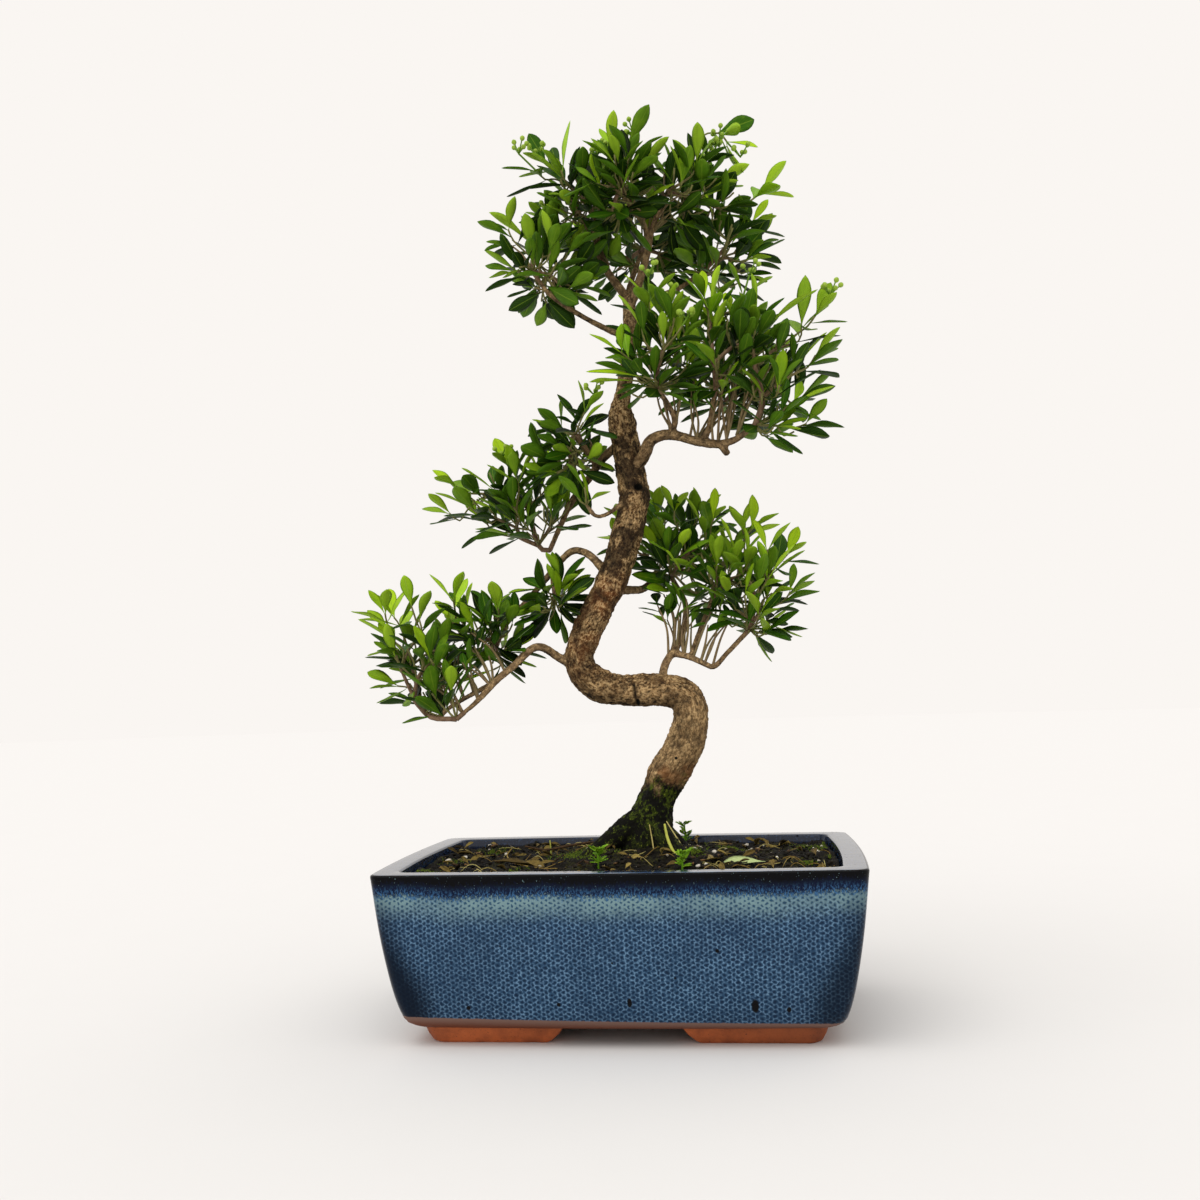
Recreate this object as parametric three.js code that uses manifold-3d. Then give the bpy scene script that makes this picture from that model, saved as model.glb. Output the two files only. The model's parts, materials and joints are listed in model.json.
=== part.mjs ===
// Brush cherry bonsai in its glazed pot.
// Millimetres, +Z up. The tree is laid out from the middle of the pot's footprint and the finished
// group is then moved so that the middle of its bounding box stands over the origin.

import * as THREE from 'three';
import { mergeVertices } from 'three/addons/utils/BufferGeometryUtils.js';
import Module from 'manifold-3d';

const wasm = await Module();
wasm.setup();

// Pot
const POT_LENGTH = 260;
const POT_DEPTH = 178;
const POT_HEIGHT = 92;
const RIM_WIDTH = 12.7;
const SIDE_BOW = 2.5;
const CORNER_RADIUS = 7;
const FOOT_HEIGHT = 9.5;
const FLOOR_TOP = 17.5;
const FLOOR_INSET = 21;
const POT_PROFILE = [[9.5, 20], [12.5, 15], [19, 11.8], [34, 8], [60, 3.6], [91, 0], [92, 1.2]];
const FOOT_INSET = 22;
const FOOT_FRONT_LENGTH = 78;
const FOOT_SIDE_LENGTH = 48;
const FOOT_WIDTH = 16;
const FOOT_SLANT = 9;
const FOOT_CUT = 5;
const DRAIN_RADIUS = 9;
const DRAIN_SPACING = 124;
const SCREEN_SIZE = 34;
const SCREEN_THICKNESS = 1.2;
const SCREEN_CELLS = 2;

// Wood
const TRUNK_SIDES = 9;
const TRUNK_LOBES = 0.05;
const ROOT_SIDES = 5;
const BOUGH_RADIUS = 2.9;
const BOUGH_SIDES = 5;
const BRANCH_SIDES = 4;
const KNOT_RADIUS = 3;
const KNOT_CENTRE = [12, -10.5, 307];

// Soil
const SOIL_EDGE_HEIGHT = 87;
const SOIL_MOUND = 9;
const SOIL_MOUND_SPREAD = 34;
const SOIL_ROUGHNESS = 0.9;
const SOIL_RINGS = 4;
const WEED_STEM_RADIUS = 0.9;
const WEED_ROOT_DEPTH = 8;

// Fits
const GAP = 0.3;
const HOLE_CLEARANCE = 0.35;

// Leaves
const LEAF_LENGTH = 22;
const LEAF_WIDTH_RATIO = 0.4;
const LEAF_THICKNESS = 1.2;
const LEAF_KEEL = 0.42;
const LEAF_DROOP = 0.12;
const LEAF_WIDEST = 0.62;
const LEAF_TIP_WIDTH = 0.4;
const PAIR_SPACING = 5;
const PAIRS_PER_SHOOT = 3;
const PAIRS_PER_NEW_SHOOT = 2;
const BLADE_CLEARANCE = 2.3;
const BLADE_SIDE_ROOM = 1.2;
const WOOD_CLEARANCE = 1.3;

// Twigs
const TIP_RADIUS = 1.1;
const TWIG_GROWTH = 0.28;
const STRAIGHT_TIP = 8;
const SHOOT_SPACING = 12;
const NEW_SHOOT_LENGTH = 10;
const TWIG_SIDES = 3;
const TWIG_ROOM = 0.7;
const BUD_RADIUS = 1.9;
const BUDS_PER_STALK = 3;
const SEED = 4318;

const COLOURS = {
  glaze: { color: 0x24466b, roughness: 0.22, metalness: 0 },
  screen: { color: 0x20221f, roughness: 0.7, metalness: 0 },
  soil: { color: 0x2b2219, roughness: 0.95, metalness: 0 },
  bark: { color: 0x6b5138, roughness: 0.9, metalness: 0 },
  leaf: { color: 0x2c5420, roughness: 0.45, metalness: 0 },
  newLeaf: { color: 0x7fa636, roughness: 0.45, metalness: 0 },
  bud: { color: 0x9db069, roughness: 0.6, metalness: 0 },
  weed: { color: 0x6f9c2d, roughness: 0.6, metalness: 0 },
  deadLeaf: { color: 0x8a6238, roughness: 0.8, metalness: 0 },
};

// The trunk's middle line with its radius at each point: x, y, z, radius.
const TRUNK = [
  [7, 0, 52, 13], [7, 0, 78, 16], [8, 0, 92, 16], [11, 0, 101, 14.5], [13, 0, 109, 12.8],
  [15, 0, 117, 11.4], [18, 0, 125, 10.6], [23, 0, 136, 12], [30, -1, 147, 11.3], [36, -2, 159, 10.8],
  [38, -3, 170, 10.2], [37, -3, 178, 9.9], [31, -3, 183, 9.6], [20, -3, 185, 9.3], [3, -2, 185.5, 9.1],
  [-9, -1, 187, 9.1], [-17, 0, 190, 9.4], [-23, 0, 196, 9.4], [-26, 0, 203, 8.9], [-26, 0, 210, 8.5],
  [-21, 0, 222, 8.9], [-15, 0, 233, 9], [-8, 0, 245, 9.3], [-2, 0, 259, 8.8], [3, 0, 274, 9.3],
  [7, 0, 288, 8.7], [9, 0, 301, 9.1], [7, 0, 316, 8.7], [5, 0, 331, 8.1], [3, 0, 345, 8.3],
  [2.5, 0, 353, 7], [4, 0, 361, 5.2], [6, 0, 372, 4.6], [9, 1, 394, 4.1], [10, 1, 421, 3.7],
];

// Branches, each from inside the wood that carries it out to the end where its spray goes on.
const BRANCHES = {
  crownLeftLow: [
    [8, 1, 398, 2], [0, -3, 400, 1.9], [-17, -11, 408, 1.7], [-35, -18, 420, 1.4], [-43, -22, 431, 1.3],
  ],
  crownLeft: [
    [10, 1, 416, 3.2], [5, 3, 427, 2.7], [-3, 8, 440, 2.3], [-10, 12, 457, 1.8], [-11, 15, 474, 1.5],
  ],
  crownRight: [
    [10, 1, 416, 3.2], [15, -1, 427, 2.7], [22, -4, 447, 2.2], [26, -6, 462, 1.8], [33, -8, 477, 1.5],
  ],
  crownFront: [[23, -4, 452, 1.9], [21, -10, 462, 1.6], [16, -15, 469, 1.5], [11, -20, 478, 1.4]],
  crownSide: [
    [9, 1, 392, 2.4], [15, 8, 410, 2.1], [25, 13, 424, 1.8], [38, 17, 430, 1.6], [48, 20, 437, 1.5],
  ],
  crownBack: [[10, 2, 413, 2.6], [8, 12, 426, 2.2], [10, 26, 442, 1.8], [15, 42, 464, 1.5]],
  upperRight: [
    [9, -2, 316, 4], [16, -8, 322, 3.8], [20, -12, 330, 3.5], [27, -15, 333, 3.2], [36, -18, 332, 3.1],
    [48, -23, 327, 2.8], [60, -27, 324, 2.5], [70, -31, 325, 2], [79, -35, 330, 1.7],
  ],
  upperRightStub: [[57, -26, 325, 2.3], [62, -28, 323, 2.3], [66, -29, 317, 2]],
  upperRightUp: [[32, -17, 332, 2.2], [36, -21, 339, 1.9], [34, -27, 346, 1.7], [29, -34, 354, 1.5]],
  upperRightMid: [[52, -24, 326, 2], [56, -28, 334, 1.8], [58, -31, 344, 1.6], [60, -33, 352, 1.5]],
  upperRightBack: [[46, -22, 328, 2], [52, -10, 334, 1.8], [58, 2, 345, 1.6], [62, 9, 353, 1.5]],
  leftUpper: [
    [4, 1, 334, 3.2], [-8, 6, 327, 2.7], [-20, 16, 315, 2.3], [-32, 22, 302, 2.1], [-40, 26, 288, 1.8],
    [-46, 30, 277, 1.6],
  ],
  leftUpperFork: [[-14, 11, 321, 1.9], [-18, 4, 329, 1.7], [-23, -1, 337, 1.5]],
  leftUpperTwig: [[5, -4, 298, 1.6], [-6, -11, 289, 1.4], [-13, -13, 288, 1.3], [-16, -13, 292, 1.3]],
  leftMiddle: [
    [-6, 0, 252, 3], [-17, 6, 265, 2.5], [-24, 10, 270, 2.4], [-31, 13, 271, 2.3], [-39, 15, 265, 2.1],
    [-49, 17, 254, 2], [-61, 16, 241, 1.8], [-73, 12, 227, 1.6], [-78, 7, 214, 1.5],
  ],
  leftMiddleFork: [[-42, 15, 262, 1.8], [-43, 11, 254, 1.6], [-42, 9, 247, 1.4]],
  leftLow: [
    [-27, 0, 202, 3.4], [-36, -4, 205, 2.8], [-46, -11, 212, 2.5], [-53, -14, 211, 2.4],
    [-62, -19, 202, 2.2], [-72, -24, 193, 2], [-83, -30, 181, 1.6], [-91, -33, 174, 1.5],
  ],
  leftLowBack: [
    [-66, -21, 199, 1.9], [-78, -16, 191, 1.7], [-92, -8, 185, 1.5], [-105, 0, 179, 1.4],
    [-112, 4, 174, 1.4],
  ],
  rightLow: [
    [22, -2, 187, 3.2], [23, 2, 197, 2.6], [26, 5, 204, 2.4], [31, 8, 211, 2.3], [36, 13, 225, 2.1],
    [36, 18, 238, 1.8], [29, 24, 252, 1.6],
  ],
  rightLowArm: [
    [29, 7, 207, 2.2], [39, 3, 204, 1.9], [47, 0, 200, 1.8], [53, -1, 198, 1.7], [61, 1, 206, 1.6],
    [72, 5, 217, 1.5],
  ],
  rightLowMid: [[39, 3, 204, 1.6], [44, 9, 218, 1.5], [49, 13, 230, 1.5], [53, 16, 239, 1.4]],
  back: [
    [-7, 2, 246, 3.2], [2, 13, 246, 2.7], [10, 24, 247, 2.4], [14, 36, 252, 2], [17, 46, 259, 1.7],
  ],
};

// Surface roots, from inside the trunk's foot out and down into the soil.
const ROOTS = [
  [[11, -2, 112, 8], [1, -6, 107, 7], [-12, -10, 98, 6], [-26, -14, 88, 4], [-36, -17, 78, 2.5]],
  [[14, -4, 108, 7.5], [21, -12, 99, 6.5], [32, -18, 90, 4.5], [42, -24, 78, 2.5]],
  [[10, 4, 108, 7], [2, 14, 99, 6], [-6, 24, 88, 4], [-12, 32, 78, 2.5]],
  [[13, 4, 106, 7], [24, 11, 97, 5.5], [36, 18, 86, 3.6], [44, 22, 78, 2.5]],
];

// Each spray goes on from a branch's end. Its shoots fill an egg-shaped space with a middle and
// half-sizes. The leaves in "shown" stand at hand-chosen places: foot x, y, z and tip x, y, z. Those in
// "fresh" do too, on new shoots.
const SPRAYS = [
  {
    name: 'spray_crown_low_left', branch: 'crownLeftLow',
    middle: [-52, -14, 449], half: [20, 24, 24], shoots: 5,
    shown: [
      [-48, -6, 457, -70, -10, 479], [-57, -8, 440, -74, -11, 453], [-58, -16, 437, -69, -28, 430],
      [-51, -30, 434, -58, -42, 422],
    ],
  },
  {
    name: 'spray_crown_left', branch: 'crownLeft',
    middle: [-24, 0, 496], half: [26, 32, 24], shoots: 5,
    shown: [[-38, -2, 507, -49, -16, 512], [-27, -14, 493, -43, -20, 508]],
    fresh: [[-28, -6, 499, -24, -8, 530]],
  },
  {
    name: 'spray_crown_front', branch: 'crownFront',
    middle: [4, -28, 498], half: [28, 22, 24], shoots: 5,
    shown: [[18, -14, 490, 36, -16, 512]],
    fresh: [[3, -18, 506, 6, -30, 524], [34, -36, 486, 45, -46, 494]],
  },
  {
    name: 'spray_crown_top', branch: 'crownRight',
    middle: [46, 2, 495], half: [34, 32, 24], shoots: 6,
    shown: [[57, -10, 484, 45, -12, 512], [54, 0, 478, 75, -2, 490], [72, 12, 518, 74, 6, 496]],
    fresh: [[65, 8, 489, 83, 4, 502], [91, 8, 483, 105, 6, 500]],
  },
  {
    name: 'spray_crown_right', branch: 'crownSide',
    middle: [72, 16, 452], half: [26, 32, 22], shoots: 5,
    shown: [[85, 6, 464, 99, -6, 465], [81, 4, 441, 95, -8, 438], [78, 22, 437, 92, 12, 430]],
  },
  {
    name: 'spray_crown_back', branch: 'crownBack',
    middle: [12, 52, 484], half: [44, 22, 32], shoots: 6,
    shown: [],
  },
  {
    name: 'spray_upper_right_near', branch: 'upperRightUp',
    middle: [22, -50, 380], half: [26, 18, 26], shoots: 6,
    shown: [[33, -52, 378, 34, -64, 392], [21, -52, 359, -8, -55, 366], [13, -42, 360, -9, -44, 362]],
    fresh: [[31, -46, 377, 12, -49, 402], [9, -50, 374, -6, -58, 385]],
  },
  {
    name: 'spray_upper_right_mid', branch: 'upperRightMid',
    middle: [66, -34, 388], half: [28, 28, 28], shoots: 5,
    shown: [[60, -46, 382, 67, -52, 399], [84, -38, 388, 85, -40, 418], [56, -30, 408, 52, -44, 420]],
    fresh: [[59, -40, 399, 64, -42, 422]],
  },
  {
    name: 'spray_upper_right_end', branch: 'upperRight',
    middle: [102, -36, 364], half: [24, 28, 34], shoots: 6,
    shown: [
      [88, -44, 384, 114, -46, 405], [110, -32, 387, 113, -34, 414], [118, -38, 392, 129, -49, 402],
      [93, -38, 330, 105, -53, 324],
    ],
    fresh: [[104, -36, 343, 124, -38, 352]],
  },
  {
    name: 'spray_upper_right_back', branch: 'upperRightBack',
    middle: [66, 12, 378], half: [38, 18, 28], shoots: 6,
    shown: [],
  },
  {
    name: 'spray_left_upper', branch: 'leftUpper',
    middle: [-72, 28, 304], half: [36, 30, 24], shoots: 8,
    shown: [
      [-73, 34, 329, -80, 20, 338], [-82, 30, 314, -100, 28, 330], [-104, 24, 316, -113, 9, 322],
      [-110, 28, 300, -119, 14, 312], [-38, 32, 288, -26, 20, 284],
    ],
    fresh: [[-67, 30, 292, -92, 28, 307], [-46, 26, 308, -40, 24, 332]],
  },
  {
    name: 'spray_left_upper_near', branch: 'leftUpperFork',
    middle: [-28, -4, 348], half: [18, 20, 18], shoots: 4,
    shown: [
      [-17, -12, 351, -6, -25, 361], [-18, -16, 343, -6, -26, 354], [-31, -8, 340, -48, -10, 350],
    ],
  },
  {
    name: 'spray_left_twig', branch: 'leftUpperTwig',
    middle: [-18, -16, 298], half: [8, 8, 8], shoots: 1,
    shown: [[-16, -15, 297, -3, -29, 302]],
  },
  {
    name: 'spray_left_middle', branch: 'leftMiddleFork',
    middle: [-40, 2, 240], half: [12, 18, 14], shoots: 3,
    shown: [[-33, 1, 240, -20, -10, 247], [-42, 8, 240, -33, -6, 232]],
  },
  {
    name: 'spray_left_low_middle', branch: 'leftMiddle',
    middle: [-84, 2, 226], half: [22, 24, 20], shoots: 5,
    shown: [[-72, -14, 236, -71, -29, 251], [-76, -12, 200, -94, -20, 193]],
    fresh: [[-102, 0, 243, -95, -12, 260]],
  },
  {
    name: 'spray_left_low_front', branch: 'leftLow',
    middle: [-116, -28, 206], half: [26, 16, 26], shoots: 6,
    shown: [
      [-139, -18, 235, -134, -31, 250], [-134, -16, 218, -152, -18, 234],
      [-131, -22, 192, -144, -36, 193],
    ],
    fresh: [[-124, -14, 239, -126, -23, 257]],
  },
  {
    name: 'spray_left_low_back', branch: 'leftLowBack',
    middle: [-122, 10, 208], half: [24, 20, 28], shoots: 5,
    shown: [[-140, 4, 234, -149, -6, 250], [-132, 6, 200, -139, -12, 204]],
  },
  {
    name: 'spray_right_low_up', branch: 'rightLow',
    middle: [34, 26, 274], half: [28, 28, 22], shoots: 6,
    shown: [[49, 22, 283, 40, 20, 304], [21, 20, 268, 13, 6, 278], [14, 26, 257, 1, 13, 252]],
    fresh: [[34, 12, 268, 40, -2, 280]],
  },
  {
    name: 'spray_right_low_middle', branch: 'rightLowMid',
    middle: [60, 18, 266], half: [22, 28, 22], shoots: 5,
    shown: [[55, 22, 288, 61, 6, 294], [72, 30, 282, 66, 18, 296]],
    fresh: [[69, 12, 261, 63, 10, 287], [62, 8, 252, 72, 4, 268]],
  },
  {
    name: 'spray_right_low_end', branch: 'rightLowArm',
    middle: [86, 6, 242], half: [22, 26, 26], shoots: 7,
    shown: [
      [78, 16, 280, 92, 4, 289], [98, 10, 263, 109, -4, 270], [88, 6, 240, 100, -9, 243],
      [86, 2, 222, 104, -2, 212],
    ],
    fresh: [[86, -4, 248, 100, -8, 267], [68, -7, 231, 70, -17, 246]],
  },
  {
    name: 'spray_back', branch: 'back',
    middle: [24, 62, 282], half: [34, 22, 24], shoots: 5,
    shown: [],
  },
];

// Flower buds: the spray whose twig carries them and where they stand.
const BUDS = [
  { spray: 'spray_crown_front', at: [14, -10, 514] },
  { spray: 'spray_crown_top', at: [63, 4, 508] },
  { spray: 'spray_upper_right_near', at: [44, -54, 386] },
];

// Small plants in the soil: x, y, height and number of leaves.
const WEEDS = [[-12, -52, 10, 4], [34, -58, 9, 3], [30, 40, 13, 3]];

// Dead leaves lying on the soil: x, y, heading in degrees and length.
const FALLEN = [
  [-74, -38, 20, 24], [-62, -22, -35, 20], [46, -44, 70, 22], [78, -46, 160, 24], [-96, 18, 100, 19],
];

const UP = new THREE.Vector3(0, 0, 1);

function vector(numbers) {
  return new THREE.Vector3(numbers[0], numbers[1], numbers[2]);
}

// A seeded stream of numbers from 0 to 1.
function randomStream(seed) {
  let state = seed >>> 0;
  return () => {
    state = (state + 0x6d2b79f5) >>> 0;
    let mixed = Math.imul(state ^ (state >>> 15), state | 1);
    mixed = (mixed + Math.imul(mixed ^ (mixed >>> 7), mixed | 61)) ^ mixed;
    return ((mixed ^ (mixed >>> 14)) >>> 0) / 4294967296;
  };
}

// A closed mesh as a solid that can be joined and cut.
function solidOf(geometry) {
  const bare = new THREE.BufferGeometry();
  const loose = geometry.index ? geometry : mergeVertices(geometry);
  bare.setAttribute('position', loose.attributes.position);
  bare.setIndex(loose.index);
  const merged = mergeVertices(bare, 1e-4);
  return new wasm.Manifold(new wasm.Mesh({
    numProp: 3,
    vertProperties: Float32Array.from(merged.attributes.position.array),
    triVerts: Uint32Array.from(merged.index.array),
  }));
}

function geometryOf(solid) {
  const mesh = solid.getMesh();
  const geometry = new THREE.BufferGeometry();
  geometry.setAttribute('position', new THREE.BufferAttribute(mesh.vertProperties, 3));
  geometry.setIndex(new THREE.BufferAttribute(mesh.triVerts, 1));
  return geometry;
}

function joined(solids) {
  return solids.reduce((whole, piece) => whole.add(piece));
}

// The biggest connected body of a solid, without loose scraps.
function mainBody(solid) {
  return solid.decompose().reduce((best, body) => (body.volume() > best.volume() ? body : best));
}

// A closed mesh through rings of points that run anticlockwise seen from its far end.
function loft(rings) {
  const count = rings[0].length;
  const corners = rings.flat().flatMap((point) => [point.x, point.y, point.z]);
  const faces = [];
  for (let ring = 0; ring < rings.length - 1; ring += 1) {
    for (let side = 0; side < count; side += 1) {
      const here = ring * count + side;
      const next = ring * count + ((side + 1) % count);
      faces.push(here, next, next + count, here, next + count, here + count);
    }
  }
  const last = (rings.length - 1) * count;
  for (let side = 1; side < count - 1; side += 1) {
    faces.push(0, side + 1, side, last, last + side, last + side + 1);
  }
  const geometry = new THREE.BufferGeometry();
  geometry.setAttribute('position', new THREE.Float32BufferAttribute(corners, 3));
  geometry.setIndex(faces);
  return geometry;
}

// Rings square to a line of points, turned as little as possible from one to the next.
function ringsAlong(points, radii, sides, lobes = 0) {
  let across = null;
  return points.map((point, index) => {
    const before = points[Math.max(index - 1, 0)];
    const after = points[Math.min(index + 1, points.length - 1)];
    const along = after.clone().sub(before).normalize();
    if (across === null) {
      across = new THREE.Vector3(0, -1, 0).cross(along);
      if (across.length() < 0.2) {
        across = new THREE.Vector3(1, 0, 0).cross(along);
      }
    }
    across = across.clone().addScaledVector(along, -across.dot(along)).normalize();
    const third = along.clone().cross(across);
    const ring = [];
    for (let side = 0; side < sides; side += 1) {
      const angle = (side / sides) * 2 * Math.PI;
      const radius = radii[index] * (1 + lobes * Math.sin(3 * angle + index * 0.35));
      ring.push(point.clone()
        .addScaledVector(across, radius * Math.cos(angle))
        .addScaledVector(third, radius * Math.sin(angle)));
    }
    return ring;
  });
}

function tube(points, radii, sides, lobes = 0) {
  return solidOf(loft(ringsAlong(points, radii, sides, lobes)));
}

// A tube along rows of x, y, z and radius.
function tubeAlongRows(rows, sides, extra = 0, lobes = 0) {
  return tube(rows.map(vector), rows.map((row) => row[3] + extra), sides, lobes);
}

// One level of the pot: a rectangle with round corners and sides that bow out.
function potRing(height, inset, longSteps = 4, shortSteps = 3) {
  const halfLength = POT_LENGTH / 2 - inset;
  const halfDepth = POT_DEPTH / 2 - inset;
  const corners = [[1, -1, -90], [1, 1, 0], [-1, 1, 90], [-1, -1, 180]];
  const ring = [];
  corners.forEach(([signX, signY, start], corner) => {
    const centreX = signX * (halfLength - CORNER_RADIUS);
    const centreY = signY * (halfDepth - CORNER_RADIUS);
    for (let step = 0; step <= 2; step += 1) {
      const angle = THREE.MathUtils.degToRad(start + step * 45);
      ring.push([centreX + CORNER_RADIUS * Math.cos(angle), centreY + CORNER_RADIUS * Math.sin(angle)]);
    }
    const short = corner % 2 === 0;
    const steps = short ? shortSteps : longSteps;
    const reach = (short ? halfDepth : halfLength) - CORNER_RADIUS;
    for (let step = 1; step < steps; step += 1) {
      const along = -1 + (2 * step) / steps;
      const bow = SIDE_BOW * (1 - along * along);
      if (short) {
        ring.push([signX * (halfLength + bow), signX * along * reach]);
      } else {
        ring.push([-signY * along * reach, signY * (halfDepth + bow)]);
      }
    }
  });
  return ring.map(([x, y]) => new THREE.Vector3(x, y, height));
}

// An L-shaped foot under one corner, with its outer corner cut and its ends slanted.
function foot(signX, signY) {
  const outerX = POT_LENGTH / 2 - FOOT_INSET;
  const outerY = POT_DEPTH / 2 - FOOT_INSET;
  const ring = (height, slope) => {
    const x0 = outerX - slope * 4;
    const y0 = outerY - slope * 4;
    const innerX = outerX - FOOT_WIDTH + slope * 2;
    const innerY = outerY - FOOT_WIDTH + slope * 2;
    const endX = outerX - FOOT_FRONT_LENGTH + slope * FOOT_SLANT;
    const endY = outerY - FOOT_SIDE_LENGTH + slope * FOOT_SLANT;
    const corners = [
      [innerX, innerY], [innerX, endY], [x0, endY], [x0, y0 - FOOT_CUT],
      [x0 - FOOT_CUT, y0], [endX, y0], [endX, innerY],
    ].map(([x, y]) => new THREE.Vector3(signX * x, signY * y, height));
    return signX * signY > 0 ? corners : [corners[0], ...corners.slice(1).reverse()];
  };
  return solidOf(loft([ring(0, 1), ring(FOOT_HEIGHT + 1, 0)]));
}

function drainCentres() {
  return [-DRAIN_SPACING / 2, DRAIN_SPACING / 2];
}

function upright(radius, bottom, top, x, y, sides = 12) {
  const geometry = new THREE.CylinderGeometry(radius, radius, top - bottom, sides);
  geometry.rotateX(Math.PI / 2);
  geometry.translate(x, y, (top + bottom) / 2);
  return closedFrom(geometry);
}

// A library shape as a solid, once its seams are merged.
function closedFrom(geometry) {
  geometry.deleteAttribute('normal');
  geometry.deleteAttribute('uv');
  return solidOf(mergeVertices(geometry, 1e-4));
}

function box(sizeX, sizeY, sizeZ, x, y, z) {
  const geometry = new THREE.BoxGeometry(sizeX, sizeY, sizeZ);
  geometry.translate(x, y, z);
  return closedFrom(geometry);
}

function makePot() {
  let pot = solidOf(loft(POT_PROFILE.map(([height, inset]) => potRing(height, inset))));
  const hollow = solidOf(loft([
    potRing(FLOOR_TOP, FLOOR_INSET),
    potRing(POT_HEIGHT + 2, RIM_WIDTH),
  ]));
  for (const signX of [-1, 1]) {
    for (const signY of [-1, 1]) {
      pot = pot.add(foot(signX, signY));
    }
  }
  pot = pot.subtract(hollow);
  for (const x of drainCentres()) {
    pot = pot.subtract(upright(DRAIN_RADIUS, 0, FLOOR_TOP + 1, x, 0));
  }
  return pot;
}

// A square of mesh that keeps the soil from falling through a drain hole.
function makeScreen(x) {
  const bottom = FLOOR_TOP + GAP;
  const middle = bottom + SCREEN_THICKNESS / 2;
  let screen = box(SCREEN_SIZE, SCREEN_SIZE, SCREEN_THICKNESS, x, 0, middle);
  const pitch = SCREEN_SIZE / (SCREEN_CELLS + 0.5);
  for (let row = 0; row < SCREEN_CELLS; row += 1) {
    for (let column = 0; column < SCREEN_CELLS; column += 1) {
      const offsetX = (column - (SCREEN_CELLS - 1) / 2) * pitch;
      const offsetY = (row - (SCREEN_CELLS - 1) / 2) * pitch;
      const hole = box(pitch * 0.66, pitch * 0.66, SCREEN_THICKNESS * 2, x + offsetX, offsetY, middle);
      screen = screen.subtract(hole);
    }
  }
  return screen;
}

function soilHeight(x, y) {
  const spread = ((x - TRUNK[1][0]) ** 2 + y ** 2) / (2 * SOIL_MOUND_SPREAD ** 2);
  const ripple = Math.sin(x * 0.21 + y * 0.13) + Math.sin(y * 0.27 - x * 0.09)
    + Math.sin(x * 0.11 - y * 0.31);
  return SOIL_EDGE_HEIGHT + SOIL_MOUND * Math.exp(-spread) + SOIL_ROUGHNESS * ripple;
}

// Where a level of the pot's inside lies between the floor and the rim, with a gap for the soil.
function insideRing(height) {
  const rise = (height - FLOOR_TOP) / (POT_HEIGHT + 2 - FLOOR_TOP);
  const inset = THREE.MathUtils.lerp(FLOOR_INSET, RIM_WIDTH, rise) + HOLE_CLEARANCE;
  return potRing(height, inset, 6, 4);
}

function makeSoil(trunkFoot) {
  const edge = insideRing(SOIL_EDGE_HEIGHT - 4);
  const rings = [insideRing(FLOOR_TOP + GAP)];
  for (let step = 0; step < SOIL_RINGS; step += 1) {
    const shrink = 1 - step / (SOIL_RINGS - 0.4);
    rings.push(edge.map((point) => {
      const x = TRUNK[1][0] + (point.x - TRUNK[1][0]) * shrink;
      const y = point.y * shrink;
      return new THREE.Vector3(x, y, soilHeight(x, y));
    }));
  }
  rings.splice(1, 0, edge);
  let soil = solidOf(loft(rings));
  for (const x of drainCentres()) {
    const side = SCREEN_SIZE + 2 * GAP;
    soil = soil.subtract(box(side, side, 2 * (SCREEN_THICKNESS + 2 * GAP), x, 0, FLOOR_TOP));
  }
  soil = soil.subtract(trunkFoot);
  for (const [x, y] of WEEDS) {
    const ground = soilHeight(x, y);
    const bottom = ground - WEED_ROOT_DEPTH - 1;
    soil = soil.subtract(upright(WEED_STEM_RADIUS + HOLE_CLEARANCE, bottom, ground + 6, x, y, 6));
  }
  return mainBody(soil);
}

// Rows with their last point let down by a distance, so that a hole is deeper than what stands in it.
function deepened(rows, place, depth) {
  return rows.map((row, index) => (index === place ? [row[0], row[1], row[2] - depth, row[3]] : row));
}

// The trunk's foot with its surface roots, made wider by the clearance for the hole in the soil.
function makeFootHole() {
  const rows = deepened(TRUNK.slice(0, 7), 0, HOLE_CLEARANCE);
  const foot = tubeAlongRows(rows, TRUNK_SIDES, HOLE_CLEARANCE, TRUNK_LOBES);
  const roots = ROOTS.map((root) => (
    tubeAlongRows(deepened(root, root.length - 1, HOLE_CLEARANCE), ROOT_SIDES, HOLE_CLEARANCE)
  ));
  return joined([foot, ...roots]);
}

function makeWood() {
  const pieces = [tubeAlongRows(TRUNK, TRUNK_SIDES, 0, TRUNK_LOBES)];
  for (const rows of ROOTS) {
    pieces.push(tubeAlongRows(rows, ROOT_SIDES));
  }
  for (const rows of Object.values(BRANCHES)) {
    pieces.push(tubeAlongRows(rows, rows[0][3] > BOUGH_RADIUS ? BOUGH_SIDES : BRANCH_SIDES));
  }
  const knot = new THREE.IcosahedronGeometry(KNOT_RADIUS, 0);
  knot.translate(...KNOT_CENTRE);
  return mainBody(joined(pieces).subtract(closedFrom(knot)));
}

// Everything that a new twig or leaf has to keep clear of.
const woodParts = [];
const blades = [];

function noteWood(points, radii, owner) {
  for (let index = 0; index < points.length - 1; index += 1) {
    woodParts.push({
      line: new THREE.Line3(points[index], points[index + 1]),
      radius: Math.max(radii[index], radii[index + 1]),
      owner,
    });
  }
}

function distanceToWood(point, part) {
  return part.line.closestPointToPoint(point, true, new THREE.Vector3()).distanceTo(point) - part.radius;
}

// Half the width of a blade at a share of its length: a wedge from the foot, then a blunt tip.
function halfWidth(blade, share) {
  const full = (blade.length * LEAF_WIDTH_RATIO) / 2;
  if (share < LEAF_WIDEST) {
    return THREE.MathUtils.mapLinear(Math.max(share, 0), 0, LEAF_WIDEST, 0, full);
  }
  return THREE.MathUtils.mapLinear(Math.min(share, 1), LEAF_WIDEST, 1, full, full * LEAF_TIP_WIDTH);
}

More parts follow.
